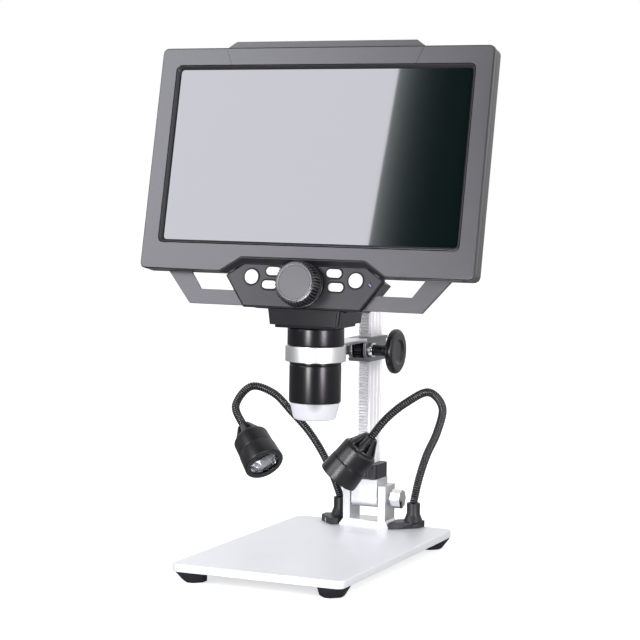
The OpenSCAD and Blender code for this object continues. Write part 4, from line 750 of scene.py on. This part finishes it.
# The right-hand buttons' centres, lengths and heights; the left ones mirror them
BUTTONS = {"round": ((35.4, -77.45), 9.2, 9.2), "upper": ((20.5, -73.45), 10.0, 5.2),
           "lower": ((22.5, -82.05), 10.0, 5.2)}
CAP_STEPS = [(0.3, -7.85), (0.0, -7.5), (0.0, -4.5), (0.08, -4.32), (0.3, -4.23),
             (1.0, -4.2), (1.8, -4.2)]
SEAL_STEPS = [(0.0, -5.6), (0.0, -4.88), (-0.1, -4.8), (-0.95, -4.8), (-1.05, -4.9),
              (-1.05, -5.6)]
SEAL_GAP = 0.05
seals = []
for name, (at, length, height) in BUTTONS.items():
    for word, sign in (("left", -1), ("right", 1)):
        centre = (sign * at[0], at[1])
        node = f"button_{name}_{word}"
        skin(f"cap_{name}_{word}", [stepped(pill(centre, length, height), CAP_STEPS)],
             white_cap, node, [node])
        seals.append(stepped(pill(centre, length + 2 * SEAL_GAP, height + 2 * SEAL_GAP),
                             SEAL_STEPS))
skin("button_seals", seals, seal_black, "head", [], ends="joined")

clear_dome = Finish("clear indicator", Roughness=0.12, IOR=1.5, Transmission_Weight=0.3)
clear_dome.tint(clear_dome.noise(1.0), (0.06, 0.08, 0.14), (0.11, 0.14, 0.21))
INDICATOR_AT, INDICATOR_D = (45.0, -79.55), 2.9
dome = [(0.0, -10.0), (0.0, -5.1), (0.15, -4.9), (0.5, -4.75), (1.0, -4.68)]
skin("indicator_dome", [stepped(pill(INDICATOR_AT, INDICATOR_D, INDICATOR_D, 5), dome)],
     clear_dome, "head", ["indicator_lens"])

# ---------------------------------------------------------------- focus wheel
# A black wheel with a milled grip, a smooth collar behind it and a spun metal face. Its
# shaft runs back through the housing to the drive roller.
WHEEL = on_display(0, -81.65, 0)
GRIP_GROOVES, GRIP_DEPTH, GRIP_FROM, FACE_N = 44, 1.0, -1.3, 7.7
GRIP_SIDES = GRIP_GROOVES * 12
wheel_black = soft_plastic("satin black wheel", (0.030, 0.030, 0.032),
                           (0.045, 0.045, 0.048), 0.26, grain=0.5, depth=0.005)
# From the roller's end of the shaft out to the collar, then the grip, rounded at its front
wheel_profile = np.concatenate([
    eased([(2.35, -31.4), (2.4, -23.6), (2.85, -23.4), (2.85, -4.8), (14.4, -4.7)], 0.2, 3,
          closed=False),
    eased([(14.7, -4.4), (14.7, -2.35), (14.3, -2.1), (13.2, -2.0), (13.3, -1.8),
           (14.1, -1.6)], 0.15, 3, closed=False),
    [(14.3, GRIP_FROM), (14.3, 2.0), (14.15, 4.0), (13.9, 5.6), (13.6, 6.6), (13.2, 7.2),
     (12.8, 7.5), (12.3, 7.6), (11.6, 7.7), (11.45, 7.4)]])
# Grooves with flat floors and lands: half of one minus tanh(3 cos of the turn's multiple)
grip = turned(wheel_profile, WHEEL, OUT, GRIP_SIDES)
turn = np.linspace(0, 2 * math.pi, GRIP_SIDES, endpoint=False)
groove = 0.5 - 0.5 * np.tanh(3 * np.cos(GRIP_GROOVES * turn))
cut = np.interp(wheel_profile[:, 1], [-1.7, -1.2, 6.8, 7.45], [0, 1, 1, 0])
cut[wheel_profile[:, 0] < 12.9] = 0
outward = grip - (WHEEL + wheel_profile[:, 1, None, None] * OUT)
outward /= np.linalg.norm(outward, axis=-1, keepdims=True)
grip -= outward * (cut[:, None] * groove * GRIP_DEPTH)[..., None]
skin("focus_grip", [grip], wheel_black, "focus_drive", ["focus_wheel"],
     smooth=45)
# The grooves between the polished bars are painted near-black as painted shade,
# and so is all below the grip
from_wheel = wheel_black.vector("SUBTRACT", wheel_black.place, tuple(WHEEL * MM))
wheel_u, wheel_v, wheel_n = (wheel_black.vector("DOT_PRODUCT", from_wheel, tuple(along))
                             for along in (ACROSS, UP_SCREEN, OUT))
groove_shade = (wheel_v.maths("ARCTAN2", wheel_u) * GRIP_GROOVES).maths("COSINE") < 0.1
wheel_black.mark((wheel_n < GRIP_FROM * MM).at_least(groove_shade), (0.004, 0.004, 0.005))

spun = Finish("spun grey face", Metallic=0.12)
from_middle = spun.vector("SUBTRACT", spun.place, tuple((WHEEL + FACE_N * OUT) * MM))
radius = spun.vector("LENGTH", from_middle)
rings = spun.node("ShaderNodeTexNoise", {"noise_dimensions": "1D"},
                  {"W": radius / MM * 4.0, "Scale": 1.0, "Detail": 3.0})
spun.tint(rings, (0.070, 0.069, 0.074), (0.100, 0.099, 0.106))
spun.feed(spun.shader.inputs["Roughness"], 0.40 + rings * 0.16)
spun.relief(rings, 0.01)
face_profile = eased([(10.75, 7.2), (10.75, 7.75), (10.5, 7.9), (0.4, 7.9)], 0.12, 3,
                     closed=False)
skin("focus_face", [turned(face_profile, WHEEL, OUT, 128)], spun, "focus_drive", [])
rim_profile = eased([(10.9, 7.1), (10.9, 7.85), (11.1, 8.0), (11.25, 8.0), (11.5, 7.8),
                     (11.5, 7.1)], 0.1, 3)
# A turned rim round the face, its colour lightened as a painted highlight
lightened_rim = metal("turned rim lightened as painted highlight", (0.24, 0.24, 0.25), (0.32, 0.32, 0.34), 0.5,
                   metallic=0.2)
skin("focus_rim", [turned(rim_profile, WHEEL, OUT, 128)], lightened_rim, "focus_drive", [],
     ends="joined")

# ---------------------------------------------------------------- goosenecks
# Close-wound steel spirals in a black sleeve. Each runs from its foot's socket to its
# lamp's cone along a smooth route through an elbow.
NECK_R, RIB_PITCH, RIB_DEPTH, TUBE_SIDES = 2.75, 1.55, 0.6, 20
NEVER_AHEAD = (0.82, -0.52, 0.0)
SPAN_STEPS, BEND_HALF, CREST_HIGHLIGHT = 24, 9.0, 0.07
# Each route's points stand over the plate's top. The elbow is one of them.
ROUTES = {
    "right": [(31, 88, 17), (35, 87, 34), (42, 82, 51), (52, 74, 68), (59, 64, 86),
              (54, 51, 97), (44, 37, 91), (34, 28, 81), (25, 24.3, 68.6)],
    "left": [(-22.5, 87.5, 17), (-27, 85, 31), (-34, 82, 47), (-43, 78, 62), (-53, 72, 75),
             (-63, 64, 88), (-75, 53, 93), (-80.3, 40.4, 80.8), (-70, 33.4, 67.8)]}
ELBOW = {"right": 5, "left": 6}


def smooth_route(points, steps):
    """Catmull-Rom curve: each span runs from b to c as half of 2b + (c - a) t
    + (2a - 5b + 4c - d) t^2 + (3b - a - 3c + d) t^3, between its neighbours a and d."""
    p = np.asarray(points, float) + (0, 0, PLATE_TOP)
    a, b, c = np.concatenate([p[:1], p[:-2]]), p[:-1], p[1:]
    d = np.concatenate([p[2:], p[-1:]])
    a, b, c, d = (q[:, None] for q in (a, b, c, d))
    t = (np.arange(steps) / steps)[None, :, None]
    spans = 0.5 * (2 * b + (c - a) * t + (2 * a - 5 * b + 4 * c - d) * t ** 2
                   + (3 * b - a - 3 * c + d) * t ** 3)
    return np.concatenate([spans.reshape(-1, 3), p[-1:]])


def tube_grid(route, radius_at, spacing, sides):
    """A tube along a route: rings at even spacing, each with the radius that radius_at
    gives for its distance along the whole length. Every ring starts at right angles to
    the route and to one direction that the route never takes."""
    steps = np.linalg.norm(np.diff(route, axis=0), axis=1)
    along = np.concatenate([[0], np.cumsum(steps)])
    s = np.linspace(0, along[-1], int(along[-1] / spacing) + 1)
    centre = np.stack([np.interp(s, along, route[:, k]) for k in range(3)], 1)
    ahead = np.gradient(centre, axis=0)
    ahead /= np.linalg.norm(ahead, axis=1, keepdims=True)
    side = np.cross(ahead, NEVER_AHEAD)
    side /= np.linalg.norm(side, axis=1, keepdims=True)
    other = np.cross(ahead, side)
    t = np.linspace(0, 2 * math.pi, sides, endpoint=False)
    spokes = (np.cos(t)[None, :, None] * side[:, None]
              + np.sin(t)[None, :, None] * other[:, None])
    return centre[:, None] + radius_at(s, along[-1])[:, None, None] * spokes


def ribbed(s, total):
    """Radius of the spiral: a rounded rib every pitch, with a ball at each end."""
    rib = np.abs(np.sin(math.pi * s / RIB_PITCH)) ** 0.7
    far = 1 - np.clip(np.minimum(s, total - s) / NECK_R, 0, 1)
    return (NECK_R - RIB_DEPTH * (1 - rib)) * np.sqrt(np.maximum(1 - far ** 2, 0.01))


sleeve = soft_plastic("black neck sleeve", (0.002, 0.002, 0.003), (0.005, 0.005, 0.006),
                      0.20, grain=0.4, depth=0.004)
# The spiral's crests are painted lighter than the gaps between them: a painted highlight on each
# crest
sleeve.mark(sleeve.node("ShaderNodeAttribute", {"attribute_name": "crest_highlight"}, output="Fac"),
            (0.05, 0.05, 0.055))
for side, points in ROUTES.items():
    # The spiral reaches a radius past each end of its bare route
    bare = smooth_route(points, SPAN_STEPS)
    overrun = NECK_R / np.linalg.norm(bare[[1, -1]] - bare[[0, -2]], axis=1)
    route = np.concatenate([[bare[0] - (bare[1] - bare[0]) * overrun[0]], bare,
                            [bare[-1] + (bare[-1] - bare[-2]) * overrun[1]]])
    neck = skin(f"gooseneck_{side}", [tube_grid(route, ribbed, RIB_PITCH / 6, TUBE_SIDES)],
                sleeve, None, [f"neck_lower_{side}", f"neck_upper_{side}"],
                smooth=60)
    # How near each point lies to a crest sets its painted highlight
    away = np.linalg.norm(spots_of(neck.data)[:, None] / MM - bare, axis=2).min(1)
    neck.data.attributes.new("crest_highlight", "FLOAT", "POINT").data.foreach_set(
        "value", np.clip((away - NECK_R + CREST_HIGHLIGHT) / CREST_HIGHLIGHT, 0, 1))
    at, near = ELBOW[side] * SPAN_STEPS, SPAN_STEPS // 4
    elbow, ahead = bare[at], bare[at + near] - bare[at - near]
    ahead *= BEND_HALF / np.linalg.norm(ahead)
    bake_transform(neck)

# ---------------------------------------------------------------- lamps
# A finned rubber cone, a two-part turned shell in satin black, and in its mouth a
# vacuum-metallised reflector around one square white LED under a clear lens.
AIM = {"right": (-0.607, -0.123, -0.785), "left": (0.6485, -0.449, -0.615)}
SHELL_FROM, SHELL_L, LAMP_R, REAR_R, ENTRY_R = 10.0, 24.7, 13.4, 12.0, 7.0
REFLECTOR_FROM, REFLECTOR_L, MOUTH_R, BORE_R = 22.0, 10.0, 9.8, 10.7
SEAM, MOUTH = SHELL_FROM + SHELL_L / 2, SHELL_FROM + SHELL_L
lamp_black = soft_plastic("satin black lamp shell", (0.004, 0.004, 0.005),
                          (0.008, 0.008, 0.010), 0.36, grain=0.35, depth=0.006, ior=1.42)
cone_rubber = soft_plastic("finned cone rubber", (0.006, 0.006, 0.007),
                           (0.012, 0.012, 0.014), 0.36)
chrome = metal("metallised reflector", (0.30, 0.31, 0.33), (0.40, 0.41, 0.43), 0.09,
               grain=1.2, depth=0.01, spread=0.06)
phosphor = Finish("led phosphor", Roughness=0.45)
phosphor.tint(phosphor.noise(0.5), (0.16, 0.20, 0.06), (0.26, 0.31, 0.11))
pane = Finish("clear lamp lens", Roughness=0.03, IOR=1.45, Transmission_Weight=1.0)
pane.tint(pane.noise(5), (0.96, 0.97, 1.0), (1.0, 1.0, 1.0))

shell_profile = eased([
    (ENTRY_R, SHELL_FROM + 0.01), (REAR_R - 1.2, SHELL_FROM), (REAR_R, SHELL_FROM + 1.2),
    (12.35, SEAM - 0.35), (12.15, SEAM - 0.2), (12.15, SEAM - 0.02), (12.7, SEAM + 0.02),
    (LAMP_R, MOUTH - 0.5), (LAMP_R - 0.4, MOUTH), (MOUTH_R + 0.4, MOUTH),
    (MOUTH_R, MOUTH - 0.4), (MOUTH_R, MOUTH - 1.5), (BORE_R, MOUTH - 1.5),
    (BORE_R, SHELL_FROM + 6.0), (ENTRY_R, SHELL_FROM + 6.0)], 0.3, 3)
# The bowl runs from its lip in to its foot: its depth is 1 - (1 - t)^1.7 of its length
FOOT_R, LIP_N = 3.2, REFLECTOR_FROM + REFLECTOR_L
bowl = np.linspace(0, 1, 14)
reflector_profile = np.concatenate([
    [(FOOT_R, REFLECTOR_FROM + 1.2), (FOOT_R, REFLECTOR_FROM),
     (BORE_R - 0.1, REFLECTOR_FROM), (BORE_R - 0.1, LIP_N), (MOUTH_R + 0.1, LIP_N)],
    np.stack([MOUTH_R - (MOUTH_R - FOOT_R - 0.1) * bowl,
              LIP_N - (REFLECTOR_L - 1.4) * (1 - (1 - bowl) ** 1.7)], 1)])
# Four flutes run down it, deepest halfway
around = np.linspace(0, 2 * math.pi, 96, endpoint=False)
fluting = 0.2 * np.outer(np.concatenate([np.zeros(5), np.sin(math.pi * bowl)]),
                         np.abs(np.sin(2 * around)))
pane_profile = [(10.4, LIP_N + 0.02), (10.6, LIP_N + 0.12), (10.6, LIP_N + 1.05),
                (10.4, LIP_N + 1.18)]
for side, axis in AIM.items():
    pivot, body = JOINT_AT[f"lamp_nod_{side}"], f"lamp_{side}"
    softened(f"cone_{side}", f"lamp_boot_{side}", 0.22, cone_rubber, body)
    skin(f"shell_{side}", [turned(shell_profile, pivot, axis)], lamp_black, body,
         [f"lamp_shell_{side}"], ends="joined")
    fluted = turned(reflector_profile, pivot, axis)
    fluted -= (fluted - fluted.mean(1, keepdims=True)) * fluting[..., None]
    skin(f"bowl_{side}", [fluted], chrome, body, [f"lamp_reflector_{side}"],
         ends="joined")
    dress(phosphor, f"lamp_emitter_{side}")
    skin(f"pane_{side}", [turned(pane_profile, pivot, axis)], pane, body,
         [f"lamp_lens_{side}"])

# ---------------------------------------------------------------- room
# A pale floor in white surroundings, in metres. A softbox at the front left is mirrored
# in most of the dark screen, with a dark card beside it. Two strips on the floor draw
# lines of light on the turned pieces, and two soft lights fill the shadows.


def sheet_of(name, corners, material):
    """A flat four-cornered sheet, part of the room."""
    mesh = bpy.data.meshes.new(name)
    mesh.from_pydata([tuple(c) for c in corners], [], [(0, 1, 2, 3)])
    made = bpy.data.objects.new(name, mesh)
    made.data.materials.append(material)
    bpy.context.scene.collection.objects.link(made)
    return made


floor = Finish("pale floor", Roughness=0.9, Emission_Strength=0.62)
floor.tint(floor.noise(400), (0.80, 0.80, 0.80), (0.82, 0.82, 0.82))
# Glossy pieces see it darker in front and on the left, as with a black cloth laid there
reach = floor.vector("DOT_PRODUCT", floor.place, (0.7, 0.7, 0.0)).at_least(0.0)
cloth = floor.node("ShaderNodeLightPath", output="Is Glossy Ray") * (
    1.0 - reach.maths("SMOOTH_MIN", 1.0, 0.2))
floor.mark(cloth, (0.26, 0.26, 0.26))
seen = floor.node("ShaderNodeLightPath", output="Is Camera Ray")
floor.feed(floor.shader.inputs["Emission Color"], floor.mix(seen, (0, 0, 0), (1, 1, 1)))
FLOOR = 12.0
sheet_of("floor", [(-FLOOR, -FLOOR, 0), (FLOOR, -FLOOR, 0), (FLOOR, FLOOR, 0),
                   (-FLOOR, FLOOR, 0)], floor.material)

world = bpy.data.worlds.new("white surroundings")
bpy.context.scene.world = world
world.use_nodes = True
sky = Graph(world.node_tree)
direct, mirrored, through = (sky.node("ShaderNodeLightPath", output=f"Is {kind} Ray")
                             for kind in ("Camera", "Glossy", "Transmission"))
shown = direct.at_least(through)
# Glossy pieces see white paper behind the object and a darker room in front of it
heading = sky.node("ShaderNodeTexCoord", output="Generated")
backward = sky.node("ShaderNodeSeparateXYZ", None, {"Vector": heading}, output="Y")
behind = (backward * 2.5 + 0.25).at_least(0.0).at_most(1.0)
FILL, FRONT_GLOSS, BACK_GLOSS = 0.55, 0.4, 1.05
glossy_part = behind * (BACK_GLOSS - FRONT_GLOSS) + (FRONT_GLOSS - FILL)
background = world.node_tree.nodes["Background"].inputs
sky.feed(background["Strength"], FILL + shown * (1 - FILL) + mirrored * glossy_part)
sky.feed(background["Color"], (1, 1, 1))

# The depth of the glass in the display's frame, and how far off the card stands
GLASS_N, CARD_AWAY = -3.0, 1.6


def mirrored_spot(u, v):
    """Where the screen, at a point of it, shows a card that stands CARD_AWAY metres off:
    the ray r from the eye goes on as r - 2 (r . n) n."""
    point = on_display(u, v, GLASS_N)
    ray = point - np.array(eye)
    ray /= np.linalg.norm(ray)
    return point * MM + CARD_AWAY * (ray - 2 * np.dot(ray, OUT) * OUT)


def area_light(name, width, height, energy, colour=(1.0, 1.0, 1.0)):
    """A rectangular light, in metres and watts, that isn't placed yet."""
    light = bpy.data.lights.new(name, "AREA")
    light.shape, light.size, light.size_y = "RECTANGLE", width, height
    light.energy, light.color = energy, colour
    made = bpy.data.objects.new(name, light)
    bpy.context.scene.collection.objects.link(made)
    return made


# The softbox's right edge runs where the screen shows it: from near the top, two thirds
# of the way across, to a little further left at the bottom.
EDGE_ON_SCREEN = ((51.2, 55.0), (42.2, -55.0))
edge_top, edge_foot = (mirrored_spot(u, v) for u, v in EDGE_ON_SCREEN)
edge_up = (edge_top - edge_foot) / np.linalg.norm(edge_top - edge_foot)
edge_middle = (edge_top + edge_foot) / 2
facing = on_display(0, 0, GLASS_N) * MM - edge_middle
facing -= np.dot(facing, edge_up) * edge_up
facing /= np.linalg.norm(facing)
rightwards = np.cross(facing, edge_up)
BOX_W, BOX_H, BOX_GLOW = 0.95, 0.95, 6.9
softbox = area_light("softbox", BOX_W, BOX_H, BOX_GLOW * math.pi * BOX_W * BOX_H,
                     (0.985, 0.985, 1.07))
softbox.matrix_world = Matrix.Translation(edge_middle - rightwards * BOX_W / 2) @ Matrix(
    (rightwards, edge_up, -facing)).transposed().to_4x4()

dark_card = Finish("dark card", Base_Color=(0.01, 0.012, 0.012), Roughness=0.9,
                   Specular_IOR_Level=0.0, Emission_Strength=1.0)
CARD_W, CARD_H, SPILL_FADE = 0.5, 0.75, -53.0
# A little of the softbox's light spills over the card's near edge and fades across it
from_edge = dark_card.vector(
    "DOT_PRODUCT", dark_card.vector("SUBTRACT", dark_card.place, tuple(edge_middle)),
    tuple(rightwards))
spill = dark_card.mix(math.e ** (from_edge * SPILL_FADE), (0, 0, 0), (1.8, 1.9, 1.95))
dark_card.feed(dark_card.shader.inputs["Emission Color"], spill)
card = sheet_of("dark_card", [
    edge_middle + rightwards * w + edge_up * h for w, h in
    ((0, -CARD_H / 2), (CARD_W, -CARD_H / 2), (CARD_W, CARD_H / 2), (0, CARD_H / 2))],
    dark_card.material)
card.visible_camera = card.visible_diffuse = card.visible_shadow = False
card.visible_transmission = False

STRIP_H, STRIP_AWAY = 0.36, 1.2
MIDDLE = Vector((0, 0, 0.15))


def strip_light(name, bearing, width, glow, colour):
    """A low narrow light on the floor that only shows as a highlight on glossy pieces.
    Its bearing is counted from the front of the object towards its right."""
    strip = area_light(name, width, STRIP_H, glow * math.pi * width * STRIP_H, colour)
    turn = math.radians(bearing)
    strip.location = (STRIP_AWAY * math.sin(turn), -STRIP_AWAY * math.cos(turn),
                      STRIP_H / 2 + 0.005)
    strip.rotation_euler = (math.pi / 2, 0, turn)
    strip.visible_diffuse = strip.visible_transmission = False


def fill_light(name, place, width, height, energy):
    """A large soft light that looks at the middle of the object."""
    fill = area_light(name, width, height, energy)
    fill.location = place
    fill.rotation_euler = (MIDDLE - fill.location).to_track_quat("-Z", "Y").to_euler()
    return fill


strip_light("front strip", -7.0, 0.26, 44.0, (1.0, 1.0, 1.0))
strip_light("right strip", 56.0, 0.30, 34.0, (1.0, 0.90, 1.0))
fill_light("side fill", (1.7, -0.5, 0.9), 1.0, 1.4, 11.0)
# The low one reaches under the display and isn't mirrored anywhere
fill_light("low fill", (0.95, -0.9, 0.22), 0.9, 0.35, 6.5).visible_glossy = False
